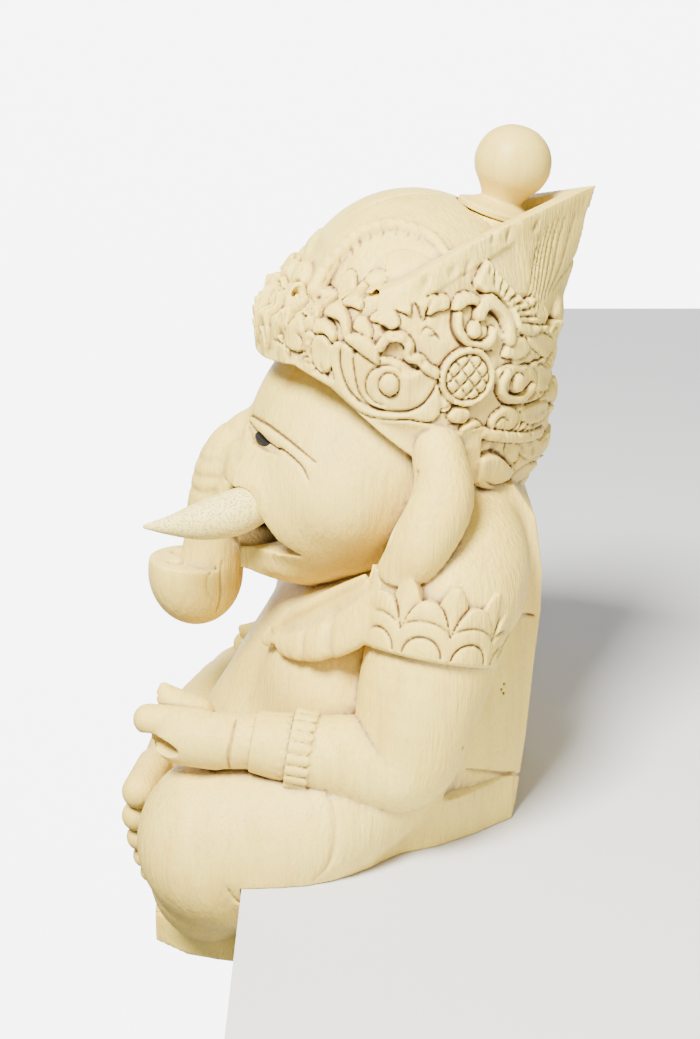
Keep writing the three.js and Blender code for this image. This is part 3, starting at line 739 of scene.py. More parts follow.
    def sample(self, s, z):
        a = np.clip((s - self.s[0, 0]) / self.STEP, 0, self.s.size - 1.001)
        b = np.clip((z - self.z[0, 0]) / self.STEP, 0, self.z.size - 1.001)
        i, k = a.astype(int), b.astype(int)
        a, b = a - i, b - k
        low = self.h[i, k] * (1 - a) + self.h[i + 1, k] * a
        high = self.h[i, k + 1] * (1 - a) + self.h[i + 1, k + 1] * a
        return low * (1 - b) + high * b


# The carving on the crown's side, in side view as (y, z)

# Each leaf's outline, its height, and how far its middle is hollowed
LEAVES = [
    ([(-17, 137), (-15.6, 143), (-12.8, 145.4), (-11.6, 141), (-13, 136)], 1.0, 0.8),
    ([(-12, 134), (-12.6, 139), (-10.6, 142), (-8, 139.6), (-8.4, 134.6)], 1.0, 0.9),
    ([(-9.4, 134), (-9.6, 139.4), (-7.2, 141.6), (-4.9, 139), (-4.4, 134.6), (-6.6, 131.6)], 1.2, 0.9),
    ([(-9.4, 142), (-8.6, 144.8), (-6, 145.2), (-3.6, 142.6), (-4.2, 139.8), (-6.6, 141.8)], 1.4, 0.6),
    ([(-6.4, 146.6), (-5, 149.2), (-2.6, 149.8), (-0.4, 147), (0.2, 142), (-1.6, 141.4), (-2.6, 145.4)],
     1.6, 0.0),
    ([(-13, 151), (-14.6, 147.6), (-11.8, 145.4), (-8.6, 147), (-8.2, 150)], 0.8, 1.0),
    ([(-7.6, 150.4), (-5.2, 155.4), (-2.2, 155), (-1.4, 151.4), (-4, 149.8)], 1.0, 0.6),
    ([(-1.8, 149.6), (-1, 152.6), (1, 153.6), (2.8, 151.6), (3, 148.6), (0.6, 149)], 1.2, 0.6),
    ([(1, 153.8), (3.4, 156.2), (7.8, 156.2), (8.6, 153.6), (6, 152.8), (3.2, 152.2)], 1.0, 0.6),
    ([(0.8, 144.2), (1.8, 146.8), (4, 146.8), (5.6, 143.4), (4.8, 141.4), (2.8, 142.6)], 1.1, 0.8),
    ([(4.8, 146.4), (7.2, 148.6), (11, 148.8), (12.6, 145.6), (9.8, 144), (7.4, 145.6)], 1.1, 0.8),
    ([(9.4, 150.4), (12.2, 152.4), (15, 151), (15.4, 147.8), (13.2, 148.4)], 1.2, 0.4),
    ([(15.4, 152.6), (19, 152), (22.4, 151.8), (19.6, 149), (18.6, 146.4), (17.4, 149.6)], 1.2, 0.5),
    ([(19.6, 147.4), (21, 151.4), (25.4, 151.8), (25.6, 148.8), (22.8, 148.4)], 1.2, 0.5),
    ([(21.6, 127.4), (26.8, 127), (25.2, 123), (22, 123.4)], 1.2, 0.5),
    ([(25, 121.6), (28, 124), (31, 122), (29.4, 119.2), (26.6, 119.6)], 1.2, 0.0),
    ([(28.6, 118), (32, 119.6), (34.4, 117.6), (32.4, 115), (29.6, 115.2)], 1.1, 0.1),
    ([(40, 135.4), (42.6, 138.6), (46.6, 138.6), (48, 135.4), (45, 133.6), (42.2, 134.2)], 1.4, 0.6),
    ([(48, 139.6), (52, 138.4), (54.8, 134), (52.6, 130.8), (49.8, 133.8), (47.8, 136.4)], 1.4, 0.7),
    ([(46.8, 130), (50.2, 131), (53.6, 128), (54.8, 124), (51.4, 122), (48.8, 125)], 1.2, 1.0),
    ([(45.6, 119.4), (50, 119.6), (54, 116.8), (53, 113), (48.6, 114), (45.4, 116.4)], 1.1, 0.9),
    ([(45, 108.6), (49, 109.6), (52, 106), (51, 101.6), (47.6, 103.6)], 1.1, 0.9),
    ([(43.4, 98.4), (46.6, 101), (50, 99.6), (49.4, 95), (45.6, 94.6)], 1.1, 0.8),
]

# The big scroll low in front, and the edge of the plain wood under it
VOLUTE_FIELD = [(-4, 140), (-4.8, 134), (-2.8, 127.4), (0.4, 123.8), (4, 121.8), (9, 121), (15.2, 121),
                (20.6, 120.2), (23.4, 123), (23.2, 128), (22, 132.2), (19.4, 134.4), (16.8, 134), (13, 136),
                (6, 138)]
VOLUTE_CUT = [(-2, 140.7), (-2.7, 135.5), (-1.4, 130), (1, 126.4), (3.9, 124.4), (7.1, 123.3), (11.6, 123),
              (15.2, 123.3), (18.5, 124.9), (20.9, 127.8), (21.9, 130.3)]
VOLUTE_INNER_CUT = [(1, 138.2), (0.8, 134.9), (1.6, 129.5), (3.2, 126), (5.5, 124.1), (8.3, 123.3)]
VOLUTE_SPIRAL = [(9.6, 124.2), (6.4, 125.4), (4.2, 127.8), (4, 130.8), (5.4, 133.6), (8.7, 135.2),
                 (12, 134.6), (13.6, 132.4)]
VOLUTE_HOOD = [(-1.2, 141.2), (0.6, 142.8), (4.4, 142.2), (7.2, 138.8), (7.2, 135.4), (4.6, 136.8),
               (2.2, 138.4)]
VOLUTE_NOTCHES = [(8.6, 141.8), (11.4, 143.2), (14.6, 141.9), (15.6, 138.6), (18.6, 136.2)]
LEAF_CREST = [(7.6, 139.8), (9.6, 142.2), (13, 142.4), (15, 140.2), (14.8, 137.4), (17.4, 136.8),
              (19.4, 134.6), (22, 133)]
RIM_EDGE = [(-4.4, 131), (-2.6, 126.8), (0.5, 123.6), (3.8, 121.7), (9, 121), (15.3, 121), (20.5, 119.8),
            (27.1, 117.4)]

# The C-shaped scroll above it, and the plume behind
C_FIELD = [(28.2, 147), (28, 144.2), (29.2, 141.6), (31.4, 139.6), (37, 141), (35, 146.6), (31, 149)]
C_SCROLL = [(26.5, 147.3), (26.3, 144.7), (27.3, 141.6), (29.4, 139.3), (31.5, 137.5), (34.1, 136.7),
            (37.6, 137)]
C_BAND = [(28.2, 147), (28, 144.2), (29.2, 141.6), (31.4, 139.6), (34, 138.8), (36.8, 139.6), (38, 141.8)]
C_HOOD = [(26.4, 148.4), (28, 151.4), (31.4, 152), (34.8, 150.6), (34.6, 148.6), (31.4, 149.2), (28.8, 148.2)]
C_ARM = [(34.4, 146.6), (36.2, 148.6), (38.8, 149), (41.4, 146.6), (42.8, 143), (42.6, 139.4)]
PLUME = [(34, 153.4), (36, 156.4), (39.2, 159), (42.8, 155.2), (45.5, 152.2), (48.3, 149.2), (50.5, 146),
         (52, 142.8), (52.8, 139.4), (49.4, 138.4), (45.6, 140.6), (44.6, 146), (41, 150.4), (36.5, 151.4)]
PLUME_HEART = (38.5, 146)

# The scrolls behind the medallion and the crest below them
REAR_FIELD = [(38, 131), (41, 132.6), (44.6, 132), (48, 130.6), (50, 126.6), (48.6, 122.6), (44, 121.2),
              (39.6, 123.4)]
REAR_RING = [(37.8, 126.4), (40.2, 123.2), (44.3, 121.1), (49.8, 120), (53.6, 121.2), (56, 124.4)]
REAR_BAND = [(41, 130.6), (39.4, 128.4), (39.6, 125.4), (42, 123), (45.4, 122.8), (48.2, 124.6)]
SMALL_FIELD = [(36.6, 119.4), (41, 121.6), (45, 118.6), (44.2, 114), (39, 112.6), (36.6, 115)]
SMALL_SPIRAL = [(43.2, 121), (44.6, 117.8), (43.4, 115), (40.8, 114), (38.4, 115.2), (38, 117.6), (39.8, 119),
                (41.4, 117.6)]
LOW_CREST = [(29.9, 115), (33.3, 116), (36.8, 114.6), (41.4, 112.9), (46.9, 110.8), (52, 109.4)]
LOW_NOTCHES = [(31, 112.6), (34.6, 113), (38.4, 111), (42.2, 109.4), (46.2, 107.6), (50, 106)]
LOW_LEAF = [(32, 104), (33.8, 108.4), (38, 108.6), (41.6, 105), (42.6, 100), (38, 97.4), (33.6, 100)]
LOW_ARC = [(32.4, 107.6), (35.4, 109.8), (38.9, 109), (41.9, 105.6), (44.4, 100.8)]

# Short crescents between the leaves
GOUGES = [
    [(17.5, 142.6), (19.9, 144.4), (23.6, 141.3)],
    [(20.2, 142.2), (21.8, 142.4), (23.2, 141.2)],
    [(-20.9, 136.1), (-18.6, 137), (-16.9, 136.7)],
    [(-14.6, 148.9), (-11.8, 146.4), (-8.6, 148.2)],
    [(-13.8, 140.8), (-12.4, 139), (-12.6, 136.8)],
    [(-7.5, 142.3), (-5.6, 141.2), (-5.1, 139.3)],
    [(-7.3, 145.1), (-5.1, 145.2), (-3.7, 143.2)],
    [(1, 153.9), (2.7, 152.5), (2.2, 150)],
    [(22.6, 123.2), (25, 124), (26.6, 126.2)],
    [(25.4, 119), (27.6, 119), (29.6, 120.8)],
    [(29, 115.2), (30.6, 115), (32.4, 116.8)],
    [(-7.6, 134.2), (-6.4, 131.4), (-4.9, 129.3)],
    [(-13, 135.4), (-12.2, 136.2), (-11.2, 136.3)],
    [(-12.2, 134.2), (-11.4, 135), (-10.3, 135.1)],
]


def leaf_fill(wall):
    """Rows of leaves round the back, each row overlapping the one above it"""
    for row in reversed(range(7)):
        for k in range(4):
            y = 45 + 2.8 * k + 1.4 * (row % 2)
            wall.leaf(y, 94 + 8 * row, 6, 4.6, 60, 1.2)


def front_palmettes(wall):
    """Upright leaves round the front of the diadem"""
    for k in range(4):
        y = CROWN_WIDEST - 40 * math.cos(0.1 + 0.27 * k)
        wall.leaf(y, 140, 8.5, 3.6, 90, 1.3, veins=2)
        wall.leaf(y, 135, 4, 2.2, 90, 1.4)


def plume(wall):
    """A ribbed leaf with a scalloped edge behind the scrolls, under the ridge"""
    wall.plate(PLUME, 1.6, 0.4)
    heart = np.array(PLUME_HEART)
    edge = curve(PLUME[2:9], 4)
    for place in edge[2::3]:
        inner = place + 0.42 * (heart - place)
        wall.cut([tuple(place + 0.04 * (place - heart)), tuple(inner)], 1.5, 1.3, 0.5)
    for place in edge[::3]:
        inner = place + 0.2 * (heart - place)
        wall.scoop(*inner, 1.9, 1.1, math.degrees(math.atan2(*(heart - place)[::-1])), 0.7)
    wall.cut([(33.4, 154), (35.4, 152.4), (37.4, 149.8)], 1.2, 1.4)


def volute(wall):
    """The big scroll: a smooth field with curling cuts, a knob in a spiral, a hood and a scalloped leaf"""
    wall.plate(VOLUTE_FIELD, 0.7, 0.7)
    wall.roll(LEAF_CREST, 2.6, 1.5)
    wall.scoop(10.6, 138.4, 4, 2.6, -50, 1.6)
    wall.scoop(14.6, 134.6, 3.4, 2.2, -30, 1.3)
    wall.scoop(19, 130, 4.2, 3, -60, 0.7)
    for y, z in VOLUTE_NOTCHES:
        wall.scoop(y, z, 1.4, 1.1, 60, 0.9)
    wall.plate(VOLUTE_HOOD, 1.7, -0.4)
    wall.cut(VOLUTE_CUT, 1.5, 1.6, 0.6)
    wall.cut(VOLUTE_INNER_CUT, 1.3, 1.4, 0.6)
    wall.cut(VOLUTE_SPIRAL, 1.1, 1.1, 0.5)
    wall.knob(9.9, 130.1, 2.9, 1.9)
    wall.scoop(1.2, 138.4, 1.2, 1, 0, 1.6)
    wall.scoop(8.6, 144.2, 1.8, 1.4, 0, 1.8)


def medallion(wall):
    """A round boss in a raised ring, cut across both ways into small squares"""
    cells, ds, dz = wall.near(*wall.place(30.1, 131.3), 12)
    r = np.hypot(ds / 8.5, dz / 7.5)
    u, v = ds * 0.77 + dz * 0.64, dz * 0.77 - ds * 0.64
    cuts = [np.clip(1 - np.abs(np.mod(w + 1.6, 3.2) - 1.6) / 0.55, 0, 1) for w in (u, v)]
    boss = 0.9 + 0.4 * np.sqrt(np.maximum(1 - r * r, 0)) - 1.4 * np.maximum(*cuts)
    ring_cut = 1.5 * np.clip(1 - np.abs(r - 0.79) * 7.5 / 0.55, 0, 1)
    outside = wall.h[cells] - 1.2 * np.exp(-((np.maximum(r - 1, 0) * 7.5 / 0.6) ** 2))
    wall.h[cells] = np.where(r < 1, np.where(r < 0.79, boss, 1.4) - ring_cut, outside)


def scrolls(wall):
    """The C-shaped scroll, the scrolls behind the medallion, and the crest and leaf below them"""
    wall.plate(C_FIELD, 0, 0.7)
    wall.roll(C_BAND, 2.2, 1.5)
    wall.plate(C_HOOD, 1.8, 0.3)
    wall.roll(C_ARM, 3.6, 1.9)
    wall.cut(C_SCROLL, 1.4, 1.5, 0.6)
    wall.cut([(39.6, 150.4), (42.4, 148.2), (44.4, 144.4), (44.6, 140)], 1.3, 1.6, 0.5)
    wall.cut([(37.7, 145.9), (39.9, 145.6), (41.4, 143.4), (41.4, 141)], 1.5, 1.8, 0.5)
    wall.knob(32.6, 142.8, 2.3, 1.4)
    wall.plate(REAR_FIELD, 0.5, 0.5)
    wall.roll(REAR_BAND, 2.4, 1.5)
    wall.knob(43.9, 127, 2.7, 1.7)
    wall.cut(REAR_RING, 1.4, 1.5, 0.6)
    wall.cut([(49.3, 130.2), (51.2, 129.8), (53, 128)], 1.5, 1.4)
    wall.plate(SMALL_FIELD, 0.9, 0.4)
    wall.cut(SMALL_SPIRAL, 1.1, 1.3, 0.6)
    wall.roll(LOW_CREST, 3, 1.3)
    for y, z in LOW_NOTCHES:
        wall.scoop(y, z, 2.4, 1.8, 75, 1.2)
        wall.cut([(y + 1.6, z + 4.6), (y + 1.9, z + 2.6)], 1.1, 1.0)
    wall.plate(LOW_LEAF, 1.2, -0.8)
    wall.cut(LOW_ARC, 1.3, 1.4, 0.5)
    wall.cut([(34.8, 101.6), (38, 99), (41.6, 98.9)], 1.3, 1.3)


def small_gouges(wall):
    """Crescents and hollows between the leaves"""
    for crescent in GOUGES:
        wall.cut(crescent, 1.1, 1.2)
    wall.scoop(6.8, 152.6, 1.7, 1, 0, 1.3)
    wall.scoop(18, 146.6, 4.4, 3, 20, 0.5)
    wall.scoop(23.6, 144.4, 3, 4, 0, 0.4)


def ridge_chips(wall):
    """A row of shallow thumbnail chips under the ridge, and fine flutes on the face behind them"""
    for k, y in enumerate((19, 27, 32, 42, 48, 58)):
        z = float(np.interp(y, *np.transpose(RIDGE_LINE)))
        wall.scoop(y, z - 3 - 1.5 * (k % 3), 2.6 - 0.3 * (k % 2), 1.3, 70 - 20 * (k % 2), 0.7)
    for k in range(8):
        low, high = 49.6 + 1.3 * k, 59.6 + 0.9 * k
        wall.cut([(low, 143 + 0.6 * k), ((low + high) / 2 + 0.4, 154), (high, 164 + 0.5 * k)], 1.1, 0.7, 0.6)


def crown_relief():
    """The whole map, from the lowest leaves to the last cuts"""
    wall = Relief()
    wall.h -= 0.7
    leaf_fill(wall)
    front_palmettes(wall)
    for outline, height, dish in LEAVES:
        wall.plate(outline, height, dish)
    plume(wall)
    scrolls(wall)
    volute(wall)
    medallion(wall)
    small_gouges(wall)
    leave_plain(wall)
    ridge_chips(wall)
    return wall


def leave_plain(wall):
    """Smooth wood along the rim, hollowed where the rim is wide, under the ridge and on the face behind"""
    y = CROWN_WIDEST - 41 * np.cos(np.clip(wall.s, 0, 147) / ROUND)
    over_rim, under_ridge = above(RIM_LINE, y, wall.z), -above(RIDGE_LINE, y, wall.z)
    edge_y, edge_z = np.transpose(RIM_EDGE)
    edge = np.interp(y, edge_y, edge_z)
    low = np.where((y > edge_y[0]) & (y < 34), edge - wall.z, (2.6 - over_rim) / 2)
    rim = np.clip(low, 0, 1)
    top = np.where(y > 6, np.clip(6 - under_ridge, 0, 1), 0)
    behind = np.clip((y - 45 - 0.35 * (155 - wall.z)) / 2, 0, 1) * np.clip((wall.z - 142) / 3, 0, 1)
    share = np.clip(over_rim / np.maximum(over_rim + edge - wall.z, 0.5), 0, 1)
    hollow = 1.8 * np.sin(np.pi * share) * np.clip((y + 2) / 14, 0, 1) * np.clip((34 - y) / 4, 0, 1)
    plain = np.maximum(np.maximum(rim, top), behind)
    wall.h = wall.h * (1 - plain) + rim * (0.6 * np.clip(share * 1.5, 0, 1) - hollow)


def crown():
    """The left half of the crown, hollow behind the dome, with the relief laid on its wall"""
    relief = crown_relief()
    half = Block((0, -38, 82), (62, 74, 186))
    x, y, z = half.everywhere()
    angle, out = round_crown(x, y, z)
    share = (out - 1).astype(np.float32)
    slopes = np.gradient(share, VOXEL)
    wall = share / np.maximum(np.sqrt(sum(g * g for g in slopes)), 0.006)
    rim, ridge = above(RIM_LINE, y, z), above(RIDGE_LINE, y, z)
    half.d = np.maximum(-smooth_min(-wall, rim + 0 * wall, 0.8), ridge)
    hollow = np.maximum(wall + WALL_THICK, HOLLOW_FLOOR + FLOOR_RISE * y - z)
    half.d = np.maximum(half.d, -hollow).astype(np.float32)
    half.join(dome(), 0.3)
    half.join(diadem(), 0.6)
    half.join(back_lobes(), 1)
    half.add(topknot_pad(), 0.5)
    half.cut(topknot_well(), 0.2)
    # The relief covers the wall, and in front the diadem and the dome's foot too
    y, z = np.broadcast_to(y, wall.shape), np.broadcast_to(z, wall.shape)
    near = (np.abs(half.d) < 4) & ((wall > -3) | ((y < 12) & (z < 161)))
    front = np.clip((12 - y[near]) / 4, 0, 1) * np.clip((161 - z[near]) / 3, 0, 1)
    mask = np.where(wall[near] > -2.5, 1, front)
    half.d[near] -= (relief.sample(ROUND * angle[near], z[near]) * mask * RELIEF_SHARE).astype(np.float32)
    arch(half)
    return half


def dome():
    """The crown's smooth round top, with a few shallow marks left by the chisel"""
    block = Block((0, -38, 100), (62, 60, 178))
    block.add(egg((0, 17, 140), (41, 33, 33)))
    for k in range(5):
        start = -2 + 3.4 * k
        groove(block, [(12 - k, start, 170), (9 - k, start + 9, 172), (7 - k, start + 19, 171)], 1, 0.25, 0.2)
    return block


# The band over the dome's left side, from front to back, as x, y, z and radius
ARCH = [(26, -9, 150, 2.4), (23.5, -5.3, 156, 2.4), (22.6, -1, 160.6, 2.3), (22, 4, 164.6, 2.2),
        (23, 11, 166.6, 2), (25.5, 17, 165.8, 1.7), (28, 22, 163.6, 1.4), (32, 26, 158.5, 1.1)]


def arch(block):
    """The band arched over the bald side of the dome: overlapping leaves in front, plain behind"""
    block.add(limb(ARCH), 0.3)
    for x, y, z, _ in curve(ARCH, 2)[1:11]:
        notch = [(x + 4, y + 0.6, z - 1.4), (x + 2, y + 1.4, z + 1), (x - 0.6, y + 0.4, z + 2.4)]
        groove(block, notch, 1.3, 0.55)
    groove(block, [(33, 4, 156.5), (30, 10, 160.6), (30.5, 17, 160.6), (33, 23, 157)], 0.9, 0.35)


def diadem():
    """Upright leaves round the front and a taller one behind the middle, each with a rib and side cuts"""
    leaves = Block((0, -38, 122), (48, 30, 172))

    def upright(out, high, half, angle):
        turn = math.degrees(angle)
        side, front = math.sin(angle), -math.cos(angle)
        at = (out * side, 12 + out * front, high)
        leaves.add(egg(at, half, tip=-16, turn=turn), 0.8)
        for way in (-1, 1):
            for k in range(3):
                z = high - 4 + 4.4 * k
                a = angle + way * 0.075 * (1 - 0.15 * k)
                near = out + half[1] - 0.5 - 0.28 * (z - high)
                start = (near * math.sin(a), 12 - near * math.cos(a), z)
                stop = (start[0] + way * 3 * math.cos(angle), start[1] + way * 3 * side, z + 3.4)
                leaves.cut(limb([(*start, 0.7), (*stop, 0.4)], steps=1), 0.2)

    for angle in (0, 0.3, 0.6, 0.9, 1.2):
        upright(34.2 - 1.2 * angle, 141.5 + 2.4 * angle, (5.6, 3.6, 9.8), angle)
    for angle in (0.16, 0.5, 0.85):
        upright(29 - angle, 148.5 + 2 * angle, (5, 3.6, 7), angle)
    upright(22, 152, (7, 5, 10.5), 0)
    upright(21, 153, (4.6, 4, 8), 0.55)
    return leaves


def back_lobes():
    """Scalloped lobes down the middle of the back"""
    lobes = Block((0, 38, 84), (30, 74, 158))
    for z, tall in [(140, 7), (130, 8), (118, 8), (106, 8), (95, 7)]:
        out = float(read(CROWN_BACK, z)) - 2.6
        lobes.add(egg((0, out, z), (13, 4.4, tall)), 0.6)
        lobes.add(egg((14, out - 4.5, z - 4), (9, 4, tall * 0.8), turn=-28), 0.6)
        lobes.cut(limb([(0, out + 4.6, z + tall - 1, 0.9), (9, out + 2, z + tall - 2, 0.7)], steps=2), 0.4)
        lobes.cut(limb([(0, out + 4.8, z - 3, 0.7), (5, out + 4, z + 1.5, 0.5)], steps=2), 0.4)
    return lobes


# The topknot's profile, as (radius, height)
TOPKNOT_PROFILE = [(0, 0), (10.2, 0.1), (11.4, 1.1), (11, 2.1), (8, 3), (5.8, 4.2), (6.1, 5.6), (7.4, 7.6),
                   (9.2, 10), (10.3, 13), (10.4, 15.6), (9.6, 18.8), (7.6, 21.8), (4.4, 24), (1.6, 24.7),
                   (0, 24.8)]


def around_topknot(radius, low, high):
    """An upright drum on the topknot's leaning axis"""
    up = turned(tip=-TOPKNOT_LEAN) @ np.array((0, 0, 1))

    def distance(x, y, z):
        height, off, _ = about_axis(TOPKNOT_FOOT, TOPKNOT_FOOT + up, x, y, z)
        return np.maximum(off - radius, np.maximum(low - height, height - high)).astype(np.float32)

    reach = radius + max(abs(low), abs(high))
    return Form(TOPKNOT_FOOT - reach, TOPKNOT_FOOT + reach, distance)


def topknot_pad():
    return around_topknot(10.6, -9.5, -0.3)


def topknot_well():
    return around_topknot(11.8, -0.2, 24)


# Putting the figure together

# The cloth's edge on the thigh, and the places of the insect holes
HEM_LINE = [(68.5, -6.5, 26), (69.9, -4.5, 20.4), (72.8, -4.2, 12.3), (72.4, -5.8, 7), (71.6, -10, 1.9)]
HOLES = [(64, 16, 20.4), (64, 18.6, 20.2), (63, 20.4, 20), (62, 23.4, 19.4), (66, 31.6, 36), (40, 44.6, 41),
         (40, 46, 42.4), (40, 45.6, 39.6)]


def body_details(body):
    """Cuts across the back, the cloth's edge and folds, and the wood's old insect holes"""
    groove(body, [(29, 50, 60.4), (44, 46.4, 62), (53.9, 42.6, 63.2), (62, 40.9, 60.2)], 1.6, 1.0)
    groove(body, [(27, 47.2, 10.7), (33.2, 39.5, 15.3), (39.5, 30, 20.1)], 1.4, 0.7)
    groove(body, [(20, 49, 12), (0, 50, 12.6), (-20, 49, 12)], 1.4, 0.7)
    for side in (1, -1):
        groove(body, [(side * x, y, z) for x, y, z in HEM_LINE], 2, 0.7, 0.4)
    groove(body, [(74, -32.6, 0.8), (72.6, -30.6, -3), (70, -29.4, -7)], 1.2, 0.6)
    places = settled(body, HOLES)
    for at, out in zip(places, outward(body, places)):
        body.cut(limb([(*(at + out), 0.5), (*(at - 1.4 * out), 0.5)], steps=1))


def figure_block():
    """The body with its limbs, then the head with its trunk, eyes, crown and ears"""
    body = Block((-78, -70, -48), (78, 74, 182))
    body.add(seat())
    body.join(torso(), 3)
    body.join(thigh(LEFT_KNEE), 2.5)
    body.join(thigh(RIGHT_KNEE).flipped(), 2.5)
    body.join(hanging_leg(), 1)
    body.join(crossed_leg(), 1)
    body.add(hem(), 2.2)
    body.join(Block((50, -26, -12), (76, 10, 34)).add(hem()).flipped(), 2.2)
    body.join(whole_arm(LEFT_ARM), 0.4)
    body.join(whole_arm(RIGHT_ARM, RIGHT_HAND_TIP).flipped(), 0.4)
    shelf = [(SHELF_FACE, -80), (120, -80), (120, 0), (SHELF_FACE, 0)]
    body.cut(side_slab(shelf, -90, 90), 0.4)
    head = skull()
    nose(head)
    eye(head)
    face(head)
    head.join(crown(), 0.3)
    ear(head)
    head.cut(tusk_form(TUSK_GAP))
    body.join(head.mirrored(), 0.6)
    body_details(body)
    return body


def tusk_form(grow=0.0):
    return limb([(x, y, z, r + grow) for x, y, z, r in TUSK], steps=8)


# Meshes

def polygons(block):
    """A block's surface, as points in mm and triangles"""
    grid = openvdb.FloatGrid(FAR)
    grid.copyFromArray(np.clip(block.d, -FAR, FAR))
    points, triangles, quads = grid.convertToPolygons(isovalue=SKIN, adaptivity=0.0)
    quads = np.asarray(quads, int).reshape(-1, 4)
    halves = [quads[:, [0, 1, 2]], quads[:, [0, 2, 3]], np.asarray(triangles, int).reshape(-1, 3)]
    return (np.asarray(points) + block.first) * VOXEL, np.concatenate(halves)


def new_object(name, points, faces):
    """An object from points in mm and faces that all have the same number of corners"""
    mesh = bpy.data.meshes.new(name)
    mesh.vertices.add(len(points))
    mesh.vertices.foreach_set("co", (np.asarray(points) * MM).astype(np.float32).ravel())
    faces = np.asarray(faces, np.int32)
    sides = faces.shape[1]
    mesh.loops.add(faces.size)
    mesh.loops.foreach_set("vertex_index", faces.ravel())
    mesh.polygons.add(len(faces))
    mesh.polygons.foreach_set("loop_start", np.arange(0, faces.size, sides, dtype=np.int32))
    mesh.update(calc_edges=True)
    thing = bpy.data.objects.new(name, mesh)
    bpy.context.scene.collection.objects.link(thing)
    return thing


def one_body(thing):
    """Keeps the largest connected body, so no crumb or closed hollow is left, and faces it outwards"""
    work = bmesh.new()
    work.from_mesh(thing.data)
    work.verts.ensure_lookup_table()
    seen = np.zeros(len(work.verts), bool)
    bodies = []
    for start in work.verts:
        if seen[start.index]:
            continue
        seen[start.index] = True
        body, waiting = [start], [start]
        while waiting:
            for edge in waiting.pop().link_edges:
                for vert in edge.verts:
                    if not seen[vert.index]:
                        seen[vert.index] = True
                        body.append(vert)
                        waiting.append(vert)
        bodies.append(body)
    bodies.sort(key=len)
    crumbs = [vert for body in bodies[:-1] for vert in body]
    bmesh.ops.delete(work, geom=crumbs, context="VERTS")
    bmesh.ops.recalc_face_normals(work, faces=work.faces)
    work.to_mesh(thing.data)
    work.free()


def thinned(thing, target):
    """The same surface with about the target number of triangles, the most where it bends the most"""
    ratio = target / max(len(thing.data.polygons), 1)
    if ratio < 1:
        modifier = thing.modifiers.new("Thin", "DECIMATE")
        modifier.ratio = ratio
        shown = thing.evaluated_get(bpy.context.evaluated_depsgraph_get())
        thing.data = bpy.data.meshes.new_from_object(shown)
        thing.modifiers.clear()


def enclosed(block, places, reach):
    """The share of directions in which there is wood at a reach from each place"""
    turns = np.arange(32)
    height = (turns + 0.5) / 16 - 1
    angle, level = turns * math.pi * (3 - math.sqrt(5)), np.sqrt(1 - height**2)
    total = 0
    for way in np.column_stack([level * np.cos(angle), level * np.sin(angle), height]):
        total = total + np.clip(0.5 - sample(block, places + reach * way) / VOXEL, 0, 1)
    return total / len(turns)


def mark_hollows(thing, block):
    """Stores how deep each point lies in a narrow cut and in a wide hollow, and how far it stands out"""
    mesh = thing.data
    places = np.empty(len(mesh.vertices) * 3, np.float32)
    mesh.vertices.foreach_get("co", places)
    places = places.reshape(-1, 3) / MM
    narrow, middle, wide = (2 * enclosed(block, places, reach) - 1 for reach in (0.8, 2.4, 6))
    # The material paints shade where a point lies in a cut or hollow, and a highlight where it stands out
    marks = {"cut": narrow, "hollow": np.maximum(middle, 1.6 * wide - 0.5), "edge_highlight": -narrow}
    for name, values in marks.items():
        layer = mesh.attributes.new(name, "FLOAT", "POINT")
        layer.data.foreach_set("value", np.clip(values, 0, 1).astype(np.float32))


def smooth(thing):
    thing.data.polygons.foreach_set("use_smooth", np.ones(len(thing.data.polygons), bool))
    thing.data.update()


def carved_piece(name, block, target, node, material):
    """A block made into a finished piece of about the target number of triangles"""
    thing = new_object(name, *polygons(block))
    thinned(thing, target)
    one_body(thing)
    mark_hollows(thing, block)
    smooth(thing)
    return dressed(thing, node, material)


def dressed(thing, node, material):
    """Gives a piece its material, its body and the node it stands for"""
    thing.data.materials.append(material)
    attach(thing, "root")
    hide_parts(node)
    return thing


def tusk_block(broken):
    """The left tusk, or one broken off short"""
    block = Block((14, -64, 76), (42, -8, 98)).add(tusk_form())
    if broken:
        lost = [(-70, 70), (-33, 70), (-30.6, 86), (-32.4, 90), (-31, 104), (-70, 104)]
        block.cut(side_slab(lost, 0, 60), 0.3)
    return block


def topknot_mesh():
    """A turned knob with a neck and a thin flared collar, a little uneven by hand"""
    profile = curve(TOPKNOT_PROFILE, 6)
    profile[:, 0] = np.maximum(profile[:, 0], 0)
    inner, sides = profile[1:-1], TOPKNOT_SIDES
    angles = np.arange(sides) * 2 * math.pi / sides
    lean = turned(tip=-TOPKNOT_LEAN)
    rings = []
    for r, h in inner:
        low = max(0, 1 - h / 6)
        uneven = r * (1 - 0.02 * low * (1 + np.sin(3 * angles + 0.7)) - 0.008 * np.cos(2 * angles))
        lift = h - 0.25 * low * np.sin(2 * angles + 1)
        rings.append(np.column_stack([uneven * np.cos(angles), uneven * np.sin(angles), lift]))
    points = np.concatenate([[(0, 0, 0)], *rings, [(0, 0, profile[-1, 1])]])
    faces = []
    last = len(points) - 1
    for k in range(sides):
        nxt = (k + 1) % sides
        faces.append((0, 1 + nxt, 1 + k))
        top = 1 + (len(inner) - 1) * sides
        faces.append((last, top + k, top + nxt))
        for i in range(len(inner) - 1):
            a, b = 1 + i * sides, 1 + (i + 1) * sides
            faces += [(a + k, a + nxt, b + nxt), (a + k, b + nxt, b + k)]
    return new_object("topknot_turned", points @ lean.T + TOPKNOT_FOOT, faces)


# Materials

